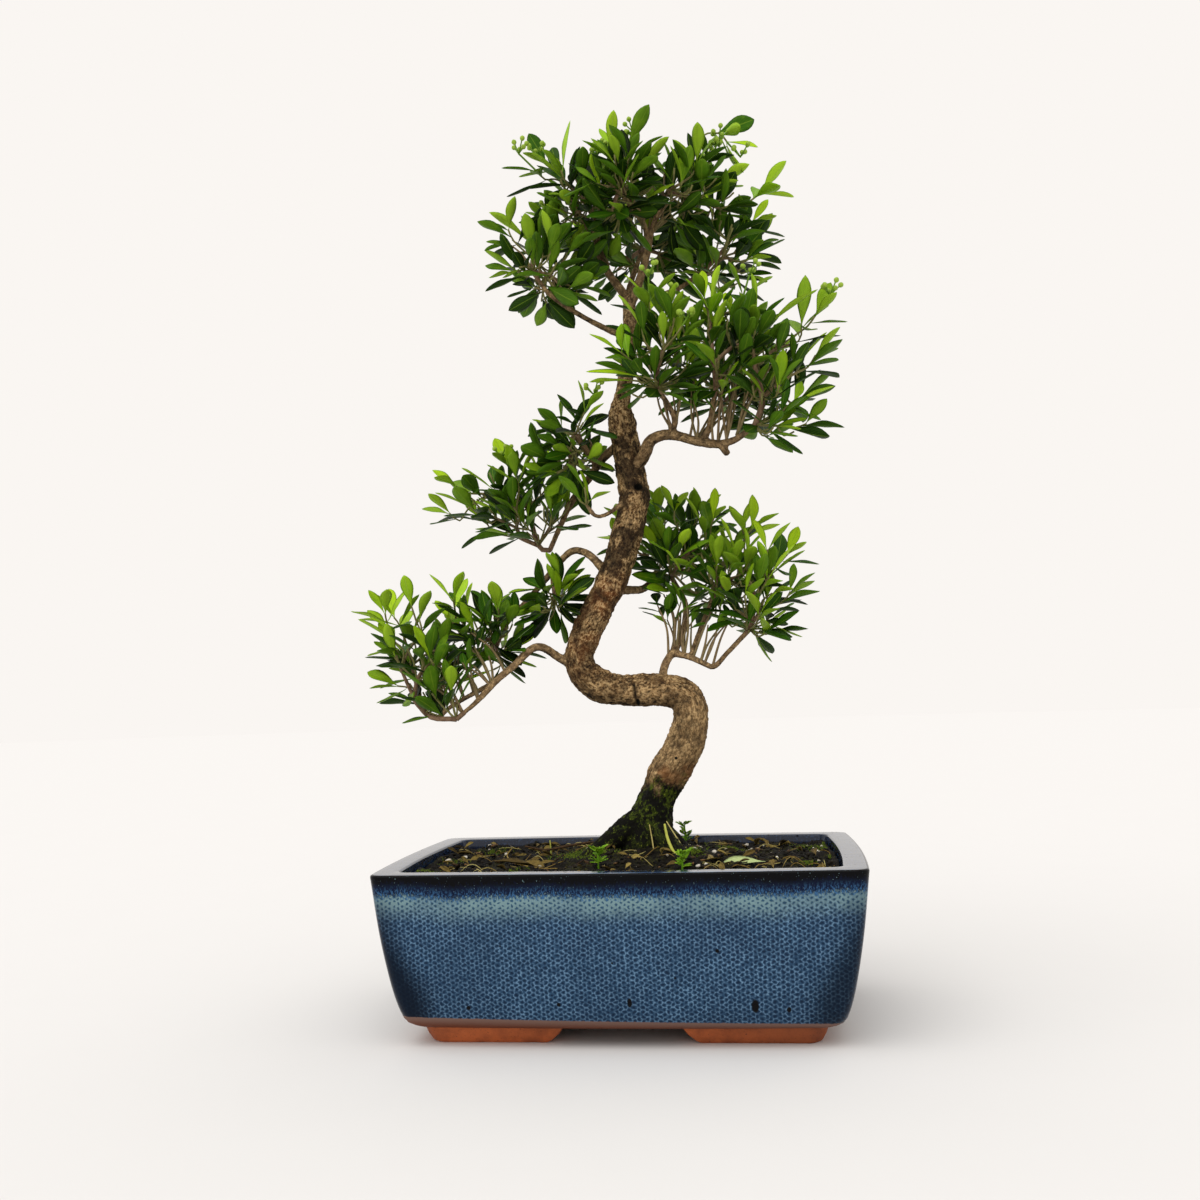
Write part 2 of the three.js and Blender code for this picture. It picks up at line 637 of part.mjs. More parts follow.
// A leaf: its foot, the way it points, its upper side, and its length.
function makeBlade(foot, along, upper, length, owner) {
  const direction = along.clone().normalize();
  const normal = upper.clone().addScaledVector(direction, -upper.dot(direction)).normalize();
  return { foot, along: direction, upper: normal, side: direction.clone().cross(normal), length, owner };
}

function bladeLift(blade, share) {
  return -LEAF_DROOP * blade.length * share * share;
}

function bladePoint(blade, share, across, below = 0) {
  return blade.foot.clone()
    .addScaledVector(blade.along, share * blade.length)
    .addScaledVector(blade.side, across)
    .addScaledVector(blade.upper, bladeLift(blade, share) - below);
}

function bladeSamples(blade) {
  const samples = [];
  for (const share of [0.35, 0.55, 0.78, 1]) {
    const reach = halfWidth(blade, share);
    for (const across of [-reach, 0, reach]) {
      samples.push(bladePoint(blade, share, across));
    }
  }
  return samples;
}

// Whether a point lies in or close to a blade, with room for something that has a radius.
function nearBlade(point, blade, room = 0) {
  const offset = point.clone().sub(blade.foot);
  const share = offset.dot(blade.along) / blade.length;
  if (share < 0.12 || share > 1.1) {
    return false;
  }
  const across = offset.dot(blade.side);
  const height = offset.dot(blade.upper) - bladeLift(blade, share);
  const inWidth = Math.abs(across) < halfWidth(blade, share) + BLADE_SIDE_ROOM + room;
  return inWidth && Math.abs(height) < BLADE_CLEARANCE + room;
}

function bladeIsClear(blade) {
  const samples = bladeSamples(blade);
  const reach = blade.length + LEAF_LENGTH * 1.5;
  for (const other of blades) {
    if (other.foot.distanceTo(blade.foot) > reach) {
      continue;
    }
    if (samples.some((point) => nearBlade(point, other))) {
      return false;
    }
    if (bladeSamples(other).some((point) => nearBlade(point, blade))) {
      return false;
    }
  }
  const offWood = (point) => woodParts.every((part) => distanceToWood(point, part) > WOOD_CLEARANCE);
  return samples.every(offWood);
}

function twigIsClear(points, radius, owner) {
  const room = radius + TWIG_ROOM;
  for (let index = 0; index < points.length - 1; index += 1) {
    const line = new THREE.Line3(points[index], points[index + 1]);
    const steps = Math.ceil(line.distance() / 2);
    for (let step = index === 0 ? 1 : 0; step <= steps; step += 1) {
      const point = line.at(step / steps, new THREE.Vector3());
      const touches = (part) => part.owner !== owner && distanceToWood(point, part) < room;
      if (woodParts.some(touches) || blades.some((blade) => nearBlade(point, blade, radius))) {
        return false;
      }
    }
  }
  return true;
}

// The leaf's mesh: a flat upper face, wedge-shaped with a blunt tip, over a keel along the midrib.
function bladeSolid(blade) {
  const widest = halfWidth(blade, LEAF_WIDEST);
  const tip = halfWidth(blade, 1);
  const outline = [[0, 0], [LEAF_WIDEST, widest], [1, tip], [1, -tip], [LEAF_WIDEST, -widest]];
  const corners = outline.map(([share, across]) => bladePoint(blade, share, across));
  corners.push(bladePoint(blade, LEAF_KEEL, 0, LEAF_THICKNESS));
  const faces = [0, 1, 4, 4, 1, 2, 4, 2, 3, 0, 5, 1, 1, 5, 2, 2, 5, 3, 3, 5, 4, 4, 5, 0];
  const geometry = new THREE.BufferGeometry();
  const numbers = corners.flatMap((point) => point.toArray());
  geometry.setAttribute('position', new THREE.Float32BufferAttribute(numbers, 3));
  geometry.setIndex(faces);
  return solidOf(geometry);
}

// The twigs of one spray as a tree of joints that starts at its branch's end.
class Spray {
  constructor(plan, random) {
    const rows = BRANCHES[plan.branch];
    const end = vector(rows[rows.length - 1]);
    this.plan = plan;
    this.random = random;
    this.name = plan.name;
    this.middle = vector(plan.middle);
    this.half = vector(plan.half);
    this.direction = end.clone().sub(vector(rows[rows.length - 2])).normalize();
    this.thickest = rows[rows.length - 1][3];
    const start = end.clone().addScaledVector(this.direction, GAP);
    const second = start.clone().addScaledVector(this.direction, 3);
    this.joints = [
      { point: start, direction: this.direction, parent: null, run: 0, load: 0 },
      { point: second, direction: this.direction, parent: 0, run: 3, load: 0 },
    ];
    this.stems = [[0, 1]];
    this.shoots = [];
  }

  // The joint from which a twig reaches a point by the shortest and straightest way.
  nearestJoint(target) {
    let best = 1;
    let lowest = Infinity;
    this.joints.forEach((joint, index) => {
      const way = target.clone().sub(joint.point);
      const distance = way.length();
      const turn = 1 - way.normalize().dot(joint.direction);
      const cost = distance + 0.35 * joint.run + 9 * turn;
      if (index > 0 && !joint.tip && cost < lowest) {
        lowest = cost;
        best = index;
      }
    });
    return best;
  }

  // Grows a twig to a point, and returns whether there was room for it.
  growTo(end, axis) {
    const from = this.nearestJoint(end);
    const joint = this.joints[from];
    const distance = joint.point.distanceTo(end);
    for (let attempt = 0; attempt < 6; attempt += 1) {
      const sway = new THREE.Vector3(this.random() - 0.5, this.random() - 0.5, this.random() - 0.5);
      sway.multiplyScalar(attempt * distance * 0.12);
      const curve = new THREE.CubicBezierCurve3(
        joint.point,
        joint.point.clone().addScaledVector(joint.direction, distance * 0.3).add(sway),
        end.clone().addScaledVector(axis, -distance * 0.35).add(sway),
        end.clone().addScaledVector(axis, -Math.min(STRAIGHT_TIP, distance * 0.45)),
      );
      const parts = THREE.MathUtils.clamp(Math.round(distance / 16), 1, 3);
      const points = [...curve.getPoints(parts), end];
      if (twigIsClear(points, TIP_RADIUS, this.name)) {
        this.addStem(from, points);
        return true;
      }
    }
    return false;
  }

  addStem(from, points) {
    const stem = [from];
    for (let index = 1; index < points.length; index += 1) {
      const parent = stem[stem.length - 1];
      const step = points[index].clone().sub(points[index - 1]);
      this.joints.push({
        point: points[index],
        direction: step.clone().normalize(),
        parent,
        run: this.joints[parent].run + step.length(),
        load: 0,
        tip: index >= points.length - 2,
      });
      stem.push(this.joints.length - 1);
    }
    this.stems.push(stem);
    noteWood(points, points.map(() => TIP_RADIUS), this.name);
  }

  // A hand-placed leaf with the shoot that ends in it.
  placeShown(numbers, fresh) {
    const foot = vector(numbers);
    const way = vector(numbers.slice(3)).sub(foot);
    const outward = foot.clone().sub(this.joints[0].point).normalize();
    const axis = way.clone().normalize().multiplyScalar(0.65).addScaledVector(outward, 0.35).normalize();
    const lead = { way, length: way.length() };
    return this.placeShoot(foot, axis, fresh, lead);
  }

  placeShoot(end, axis, fresh = false, lead = null) {
    const carrier = fresh ? end.clone().addScaledVector(axis, -NEW_SHOOT_LENGTH) : end;
    const past = carrier.clone().addScaledVector(axis, 3);
    if ((fresh && !twigIsClear([past, end], TIP_RADIUS, null)) || !this.growTo(carrier, axis)) {
      return false;
    }
    const owner = fresh ? `new_${this.name}_${this.shoots.length}` : this.name;
    this.shoots.push({ end, axis, owner, fresh, lead, stem: this.stems.length - 1 });
    if (fresh) {
      const start = carrier.clone().addScaledVector(axis, GAP);
      noteWood([start, end], [TIP_RADIUS, TIP_RADIUS], owner);
    }
    if (lead) {
      const foot = end.clone().addScaledVector(axis, -0.8);
      const blade = makeBlade(foot, lead.way, axis.clone().add(UP), lead.length, owner);
      if (bladeIsClear(blade)) {
        blades.push(blade);
      }
    }
    return true;
  }

  // Shoots drawn at random fill the spray's space where no other shoot ends close by.
  fill() {
    let tries = 0;
    while (this.shoots.length < this.plan.shoots && tries < 200) {
      tries += 1;
      const ball = vector([this.random(), this.random(), this.random()]).multiplyScalar(2).subScalar(1);
      const reach = ball.length();
      if (reach > 1 || reach < 0.45) {
        continue;
      }
      const end = ball.clone().multiply(this.half).add(this.middle);
      const outward = end.clone().sub(this.joints[0].point).normalize();
      const axis = outward.add(ball.multiplyScalar(0.5)).addScaledVector(UP, 0.35).normalize();
      if (this.shoots.every((shoot) => shoot.end.distanceTo(end) > SHOOT_SPACING)) {
        this.placeShoot(end, axis);
      }
    }
  }

  // A point on a shoot, measured back from its end along its twig.
  pointBack(shoot, distance) {
    if (shoot.fresh) {
      return shoot.end.clone().addScaledVector(shoot.axis, -distance);
    }
    const points = this.stems[shoot.stem].map((joint) => this.joints[joint].point);
    let left = distance;
    for (let index = points.length - 1; index > 0; index -= 1) {
      const span = points[index].distanceTo(points[index - 1]);
      if (left < span) {
        return points[index].clone().lerp(points[index - 1], left / span);
      }
      left -= span;
    }
    return null;
  }

  // Pairs of leaves face each other across the shoot, and each pair is turned a quarter from the last.
  leafOut() {
    for (const shoot of this.shoots) {
      const chance = new THREE.Vector3(this.random() - 0.5, this.random() - 0.5, 0.1);
      const across = shoot.lead ? shoot.lead.way.clone() : chance;
      across.addScaledVector(shoot.axis, -across.dot(shoot.axis)).normalize();
      const pairs = shoot.fresh ? PAIRS_PER_NEW_SHOOT : PAIRS_PER_SHOOT;
      for (let pair = 0; pair < pairs; pair += 1) {
        const foot = this.pointBack(shoot, 0.8 + pair * PAIR_SPACING);
        for (const sign of [1, -1]) {
          const isLead = pair === 0 && sign === 1 && shoot.lead;
          const spread = 0.6 + 0.28 * pair + 0.25 * this.random();
          const size = LEAF_LENGTH * (0.78 + 0.1 * pair + 0.25 * this.random());
          if (!isLead && foot) {
            const way = shoot.axis.clone().multiplyScalar(Math.cos(spread));
            way.addScaledVector(across, sign * Math.sin(spread)).addScaledVector(UP, 0.12);
            const tilt = 0.2 * (this.random() - 0.5);
            const upper = shoot.axis.clone().add(UP).addScaledVector(across, tilt);
            const blade = makeBlade(foot, way, upper, size, shoot.owner);
            if (bladeIsClear(blade)) {
              blades.push(blade);
            }
          }
        }
        across.cross(shoot.axis).normalize();
      }
    }
  }

  // Counts the shoots beyond each joint, which set how thick the twig is there.
  weigh() {
    for (const shoot of this.shoots) {
      const stem = this.stems[shoot.stem];
      let index = stem[stem.length - 1];
      while (index !== null) {
        this.joints[index].load += 1;
        index = this.joints[index].parent;
      }
    }
  }

  radiusAt(index) {
    const load = Math.max(this.joints[index].load, 1);
    return Math.min(TIP_RADIUS + TWIG_GROWTH * (Math.sqrt(load) - 1), this.thickest);
  }

  solid() {
    this.weigh();
    const pieces = this.stems.map((stem, index) => {
      const points = stem.map((joint) => this.joints[joint].point);
      const radii = stem.map((joint, place) => this.radiusAt(place === 0 ? stem[1] : joint));
      if (index === 0) {
        radii[0] = this.thickest;
      }
      if (index > 0) {
        radii[0] *= 0.5;
      }
      return tube(points, radii, index === 0 ? BRANCH_SIDES : TWIG_SIDES);
    });
    for (const blade of blades.filter((leaf) => leaf.owner === this.name)) {
      pieces.push(bladeSolid(blade));
    }
    return mainBody(joined(pieces));
  }

  freshSolids() {
    return this.shoots.filter((shoot) => shoot.fresh).map((shoot) => {
      const start = shoot.end.clone().addScaledVector(shoot.axis, GAP - NEW_SHOOT_LENGTH);
      const pieces = [tube([start, shoot.end], [TIP_RADIUS, TIP_RADIUS * 0.8], TWIG_SIDES)];
      for (const blade of blades.filter((leaf) => leaf.owner === shoot.owner)) {
        pieces.push(bladeSolid(blade));
      }
      return mainBody(joined(pieces));
    });
  }
}

// A stalk that divides into round buds.
function makeBuds(start, axis, random) {
  const fork = start.clone().addScaledVector(axis, 4);
  const pieces = [tube([start, fork], [0.9, 0.8], TWIG_SIDES)];
  for (let bud = 0; bud < BUDS_PER_STALK; bud += 1) {
    const angle = bud * 2.4 + random();
    const lean = new THREE.Vector3(Math.cos(angle), Math.sin(angle), 0.9 + 0.8 * random()).normalize();
    const reach = 4.5 + random();
    const steps = [-0.4, reach - 1.6, reach, reach + 1.7];
    const points = steps.map((step) => fork.clone().addScaledVector(lean, step));
    pieces.push(tube(points, [0.65, 0.6, BUD_RADIUS, BUD_RADIUS * 0.4], TWIG_SIDES));
  }
  return mainBody(joined(pieces));
}

function makeWeed([x, y, height, count], random) {
  const ground = soilHeight(x, y);
  const foot = new THREE.Vector3(x, y, ground - WEED_ROOT_DEPTH);
  const neck = new THREE.Vector3(x, y, ground + 5);
  const top = new THREE.Vector3(x, y, ground + height);
  const pieces = [tube([foot, neck, top], [WEED_STEM_RADIUS, WEED_STEM_RADIUS, 0.7], 5)];
  for (let leaf = 0; leaf < count; leaf += 1) {
    const angle = (leaf / count) * 2 * Math.PI + random();
    const way = new THREE.Vector3(Math.cos(angle), Math.sin(angle), 0.55);
    const start = top.clone().addScaledVector(UP, -0.6 - 1.1 * (leaf % 2));
    pieces.push(bladeSolid(makeBlade(start, way, UP, 8 + 3 * random(), 'weed')));
  }
  return mainBody(joined(pieces));
}

// A dead leaf is let down onto the soil until the closest part of it is a gap above.
function makeFallenLeaf([x, y, heading, length], soilMesh) {
  const angle = THREE.MathUtils.degToRad(heading);
  const way = new THREE.Vector3(Math.cos(angle), Math.sin(angle), 0);
  const high = POT_HEIGHT + 20;
  const blade = makeBlade(new THREE.Vector3(x, y, high), way, UP, length, 'fallen');
  const ray = new THREE.Raycaster();
  let drop = Infinity;
  for (let share = 0; share <= 1; share += 0.04) {
    const reach = halfWidth(blade, share);
    const ridge = LEAF_THICKNESS * Math.min(share / LEAF_KEEL, (1 - share) / (1 - LEAF_KEEL));
    for (const side of [-1, -0.75, -0.5, -0.25, 0, 0.25, 0.5, 0.75, 1]) {
      const point = bladePoint(blade, share, side * reach, ridge * (1 - Math.abs(side)));
      ray.set(point, UP.clone().negate());
      drop = Math.min(drop, ray.intersectObject(soilMesh)[0].distance);
    }
  }
  blade.foot.z -= drop - GAP;
  return bladeSolid(blade);
}

function meshOf(name, solid, colour) {
  const mesh = new THREE.Mesh(geometryOf(solid), new THREE.MeshStandardMaterial(COLOURS[colour]));
  mesh.name = name;
  return mesh;
}

function growFoliage(random) {
  noteWood(TRUNK.map(vector), TRUNK.map((row) => row[3]), 'wood');
  for (const rows of Object.values(BRANCHES)) {
    noteWood(rows.map(vector), rows.map((row) => row[3]), 'wood');
  }
  const sprays = SPRAYS.map((plan) => new Spray(plan, random));
  for (const spray of sprays) {
    spray.plan.shown.forEach((numbers) => spray.placeShown(numbers, false));
    (spray.plan.fresh ?? []).forEach((numbers) => spray.placeShown(numbers, true));
  }
  const buds = BUDS.map(({ spray, at }) => {
    const carrier = sprays.find(({ name }) => name === spray);
    const end = vector(at);
    const axis = end.clone().sub(carrier.middle).normalize().add(UP).normalize();
    const room = carrier.growTo(end, axis);
    if (room) {
      const stem = carrier.stems.length - 1;
      carrier.shoots.push({ end, axis, owner: spray, fresh: false, lead: null, stem });
      noteWood([end, end.clone().addScaledVector(axis, 9)], [5, 5], 'buds');
    }
    return { end, axis, room };
  });
  sprays.forEach((spray) => spray.fill());
  sprays.forEach((spray) => spray.leafOut());
  return { sprays, buds: buds.filter(({ room }) => room) };
}

function buildTree() {
  const random = randomStream(SEED);
  const group = new THREE.Group();
  const soilMesh = meshOf('soil', makeSoil(makeFootHole()), 'soil');
  group.add(meshOf('pot', makePot(), 'glaze'), soilMesh, meshOf('trunk', makeWood(), 'bark'));
  drainCentres().forEach((x, index) => {
    group.add(meshOf(`drain_screen_${index + 1}`, makeScreen(x), 'screen'));
  });
  const { sprays, buds } = growFoliage(random);
  let freshCount = 0;
  for (const spray of sprays) {
    group.add(meshOf(spray.name, spray.solid(), 'leaf'));
    for (const solid of spray.freshSolids()) {
      freshCount += 1;
      group.add(meshOf(`new_shoot_${freshCount}`, solid, 'newLeaf'));
    }
  }
  buds.forEach(({ end, axis }, index) => {
    const start = end.clone().addScaledVector(axis, GAP);
    group.add(meshOf(`flower_buds_${index + 1}`, makeBuds(start, axis, random), 'bud'));
  });
  WEEDS.forEach((plan, index) => {
    group.add(meshOf(`weed_${index + 1}`, makeWeed(plan, random), 'weed'));
  });
  FALLEN.forEach((plan, index) => {
    group.add(meshOf(`fallen_leaf_${index + 1}`, makeFallenLeaf(plan, soilMesh), 'deadLeaf'));
  });
  return group;
}

const group = buildTree();
const bounds = new THREE.Box3().setFromObject(group);
const middle = bounds.getCenter(new THREE.Vector3());
group.position.set(-middle.x, -middle.y, -bounds.min.z);

export default group;
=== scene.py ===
"""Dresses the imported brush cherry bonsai: pot, soil, wood, leafy sprays and a plain studio.

The frame holds plain solids. Each of them but the drain screens is replaced by a finer piece that follows
the same rule from the same named sizes, so it keeps its place and form. Lengths are in millimetres, laid
out from the middle of the pot's footprint as the solids are, and become metres when a mesh is made.
"""

import json
import logging
import math
from dataclasses import dataclass, field
from enum import IntEnum

import bmesh
import bpy
import numpy as np
from mathutils import Matrix, Vector, noise

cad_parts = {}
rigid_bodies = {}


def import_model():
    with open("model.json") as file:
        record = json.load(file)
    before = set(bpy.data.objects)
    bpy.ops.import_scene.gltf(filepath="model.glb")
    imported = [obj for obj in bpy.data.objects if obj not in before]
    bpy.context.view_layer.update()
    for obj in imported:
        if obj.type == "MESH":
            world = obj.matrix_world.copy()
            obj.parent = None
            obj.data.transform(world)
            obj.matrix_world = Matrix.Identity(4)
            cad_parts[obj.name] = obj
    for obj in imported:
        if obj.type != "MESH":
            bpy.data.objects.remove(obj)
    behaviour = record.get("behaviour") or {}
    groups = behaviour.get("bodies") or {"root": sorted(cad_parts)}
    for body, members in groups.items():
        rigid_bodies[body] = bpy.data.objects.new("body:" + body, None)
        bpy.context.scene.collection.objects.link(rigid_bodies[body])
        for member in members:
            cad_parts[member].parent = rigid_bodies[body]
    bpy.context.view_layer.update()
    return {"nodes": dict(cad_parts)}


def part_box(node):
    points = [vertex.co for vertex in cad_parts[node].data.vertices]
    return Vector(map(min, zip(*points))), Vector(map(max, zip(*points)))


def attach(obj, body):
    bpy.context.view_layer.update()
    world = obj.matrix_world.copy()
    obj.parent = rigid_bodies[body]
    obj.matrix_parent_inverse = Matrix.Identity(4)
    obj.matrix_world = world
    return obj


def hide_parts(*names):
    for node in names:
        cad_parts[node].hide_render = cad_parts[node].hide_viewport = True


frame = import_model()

MM = 0.001
UP = np.array((0.0, 0.0, 1.0))
BODY = "root"
SEED = 4318
EXTRA_SEED = 77
TURN = 6.28

Row = tuple[float, ...]
Rows = tuple[Row, ...]
Colour = tuple[int, int, int]
Array = np.ndarray
Socket = bpy.types.NodeSocket
Outputs = bpy.types.bpy_prop_collection
Material = bpy.types.Material
Piece = bpy.types.Object

log = logging.getLogger("bonsai")


@dataclass(frozen=True)
class PotSize:
    """The pot's driving dimensions."""

    length: float = 260.0
    depth: float = 178.0
    height: float = 92.0
    rim_width: float = 12.7
    bow: float = 2.5
    corner: float = 7.0
    floor_top: float = 17.5
    floor_inset: float = 21.0
    profile: Rows = ((9.5, 20), (12.5, 15), (19, 11.8), (34, 8), (60, 3.6), (91, 0))
    lip: float = 1.2
    foot_height: float = 9.5
    foot_inset: float = 22.0
    foot_front: float = 78.0
    foot_side: float = 48.0
    foot_width: float = 16.0
    foot_slant: float = 9.0
    foot_cut: float = 5.0
    drain_radius: float = 9.0
    drain_spacing: float = 124.0

    def inside(self, margin: float) -> tuple[float, float]:
        """Gives half the length and depth that lie inside the rim, less a margin."""
        return self.length / 2 - self.rim_width - margin, self.depth / 2 - self.rim_width - margin


@dataclass(frozen=True)
class SoilSize:
    """The soil's driving dimensions."""

    edge_height: float = 87.0
    mound: float = 9.0
    mound_spread: float = 34.0
    mound_x: float = 7.0
    roughness: float = 0.9
    clearance: float = 0.35
    weed_root_depth: float = 8.0


@dataclass(frozen=True)
class LeafSize:
    """How long, wide and bent a leaf is."""

    length: float = 22.0
    width_ratio: float = 0.4
    droop: float = 0.12
    widest: float = 0.62
    tip_width: float = 0.4
    thickness: float = 0.32
    pair_spacing: float = 5.0
    pairs: int = 3
    new_pairs: int = 2


@dataclass(frozen=True)
class TwigSize:
    """How thick and how far apart the twigs are."""

    tip_radius: float = 1.1
    straight_tip: float = 8.0
    spacing: float = 12.0
    new_shoot: float = 10.0
    gap: float = 0.3
    shown_tip_radius: float = 0.55
    shown_growth: float = 0.3
    sides: int = 7


@dataclass(frozen=True)
class Rooms:
    """How much room a new twig or leaf keeps from what is there."""

    face: float
    side: float
    wood: float
    twig: float


SOLID_ROOMS = Rooms(face=2.3, side=1.2, wood=1.3, twig=0.7)
FINE_ROOMS = Rooms(face=0.9, side=-0.6, wood=0.3, twig=-0.3)
POT, SOIL, LEAF, TWIG = PotSize(), SoilSize(), LeafSize(), TwigSize()


@dataclass(frozen=True)
class SprayPlan:
    """A spray: the branch it goes on from, its egg-shaped space, and its listed leaves."""

    name: str
    branch: str
    middle: Row
    half: Row
    shoots: int
    shown: Rows = ()
    fresh: Rows = ()
    extra: int = 8
    drift: Row = (0, 0, 0)
    buds: int = 0


# The trunk's middle line with its radius at each point: x, y, z, radius.
TRUNK: Rows = ((7, 0, 52, 13), (7, 0, 78, 16), (8, 0, 92, 16), (11, 0, 101, 14.5), (13, 0, 109, 12.8),
    (15, 0, 117, 11.4), (18, 0, 125, 10.6), (23, 0, 136, 12), (30, -1, 147, 11.3), (36, -2, 159, 10.8),
    (38, -3, 170, 10.2), (37, -3, 178, 9.9), (31, -3, 183, 9.6), (20, -3, 185, 9.3), (3, -2, 185.5, 9.1),
    (-9, -1, 187, 9.1), (-17, 0, 190, 9.4), (-23, 0, 196, 9.4), (-26, 0, 203, 8.9), (-26, 0, 210, 8.5),
    (-21, 0, 222, 8.9), (-15, 0, 233, 9), (-8, 0, 245, 9.3), (-2, 0, 259, 8.8), (3, 0, 274, 9.3),
    (7, 0, 288, 8.7), (9, 0, 301, 9.1), (7, 0, 316, 8.7), (5, 0, 331, 8.1), (3, 0, 345, 8.3),
    (2.5, 0, 353, 7), (4, 0, 361, 5.2), (6, 0, 372, 4.6), (9, 1, 394, 4.1), (10, 1, 421, 3.7))

# Branches, each from inside the wood that carries it out to the end where its spray goes on.
BRANCHES: dict[str, Rows] = {
    "crown_left_low": ((8, 1, 398, 2), (0, -3, 400, 1.9), (-17, -11, 408, 1.7), (-35, -18, 420, 1.4),
        (-43, -22, 431, 1.3)),
    "crown_left": ((10, 1, 416, 3.2), (5, 3, 427, 2.7), (-3, 8, 440, 2.3), (-10, 12, 457, 1.8),
        (-11, 15, 474, 1.5)),
    "crown_right": ((10, 1, 416, 3.2), (15, -1, 427, 2.7), (22, -4, 447, 2.2), (26, -6, 462, 1.8),
        (33, -8, 477, 1.5)),
    "crown_front": ((23, -4, 452, 1.9), (21, -10, 462, 1.6), (16, -15, 469, 1.5), (11, -20, 478, 1.4)),
    "crown_side": ((9, 1, 392, 2.4), (15, 8, 410, 2.1), (25, 13, 424, 1.8), (38, 17, 430, 1.6),
        (48, 20, 437, 1.5)),
    "crown_back": ((10, 2, 413, 2.6), (8, 12, 426, 2.2), (10, 26, 442, 1.8), (15, 42, 464, 1.5)),
    "upper_right": ((9, -2, 316, 4), (16, -8, 322, 3.8), (20, -12, 330, 3.5), (27, -15, 333, 3.2),
        (36, -18, 332, 3.1), (48, -23, 327, 2.8), (60, -27, 324, 2.5), (70, -31, 325, 2),
        (79, -35, 330, 1.7)),
    "upper_right_stub": ((57, -26, 325, 2.3), (62, -28, 323, 2.3), (66, -29, 317, 2)),
    "upper_right_up": ((32, -17, 332, 2.2), (36, -21, 339, 1.9), (34, -27, 346, 1.7), (29, -34, 354, 1.5)),
    "upper_right_mid": ((52, -24, 326, 2), (56, -28, 334, 1.8), (58, -31, 344, 1.6), (60, -33, 352, 1.5)),
    "upper_right_back": ((46, -22, 328, 2), (52, -10, 334, 1.8), (58, 2, 345, 1.6), (62, 9, 353, 1.5)),
    "left_upper": ((4, 1, 334, 3.2), (-8, 6, 327, 2.7), (-20, 16, 315, 2.3), (-32, 22, 302, 2.1),
        (-40, 26, 288, 1.8), (-46, 30, 277, 1.6)),
    "left_upper_fork": ((-14, 11, 321, 1.9), (-18, 4, 329, 1.7), (-23, -1, 337, 1.5)),
    "left_upper_twig": ((5, -4, 298, 1.6), (-6, -11, 289, 1.4), (-13, -13, 288, 1.3), (-16, -13, 292, 1.3)),
    "left_middle": ((-6, 0, 252, 3), (-17, 6, 265, 2.5), (-24, 10, 270, 2.4), (-31, 13, 271, 2.3),
        (-39, 15, 265, 2.1), (-49, 17, 254, 2), (-61, 16, 241, 1.8), (-73, 12, 227, 1.6), (-78, 7, 214, 1.5)),
    "left_middle_fork": ((-42, 15, 262, 1.8), (-43, 11, 254, 1.6), (-42, 9, 247, 1.4)),
    "left_low": ((-27, 0, 202, 3.4), (-36, -4, 205, 2.8), (-46, -11, 212, 2.5), (-53, -14, 211, 2.4),
        (-62, -19, 202, 2.2), (-72, -24, 193, 2), (-83, -30, 181, 1.6), (-91, -33, 174, 1.5)),
    "left_low_back": ((-66, -21, 199, 1.9), (-78, -16, 191, 1.7), (-92, -8, 185, 1.5), (-105, 0, 179, 1.4),
        (-112, 4, 174, 1.4)),
    "right_low": ((22, -2, 187, 3.2), (23, 2, 197, 2.6), (26, 5, 204, 2.4), (31, 8, 211, 2.3),
        (36, 13, 225, 2.1), (36, 18, 238, 1.8), (29, 24, 252, 1.6)),
    "right_low_arm": ((29, 7, 207, 2.2), (39, 3, 204, 1.9), (47, 0, 200, 1.8), (53, -1, 198, 1.7),
        (61, 1, 206, 1.6), (72, 5, 217, 1.5)),
    "right_low_mid": ((39, 3, 204, 1.6), (44, 9, 218, 1.5), (49, 13, 230, 1.5), (53, 16, 239, 1.4)),
    "back": ((-7, 2, 246, 3.2), (2, 13, 246, 2.7), (10, 24, 247, 2.4), (14, 36, 252, 2), (17, 46, 259, 1.7)),
}

# Surface roots, from inside the trunk's foot out and down into the soil.
ROOTS: tuple[Rows, ...] = (
    ((11, -2, 112, 8), (1, -6, 107, 7), (-12, -10, 98, 6), (-26, -14, 88, 4), (-36, -17, 78, 2.5)),
    ((14, -4, 108, 7.5), (21, -12, 99, 6.5), (32, -18, 90, 4.5), (42, -24, 78, 2.5)),
    ((10, 4, 108, 7), (2, 14, 99, 6), (-6, 24, 88, 4), (-12, 32, 78, 2.5)),
    ((13, 4, 106, 7), (24, 11, 97, 5.5), (36, 18, 86, 3.6), (44, 22, 78, 2.5)),
)

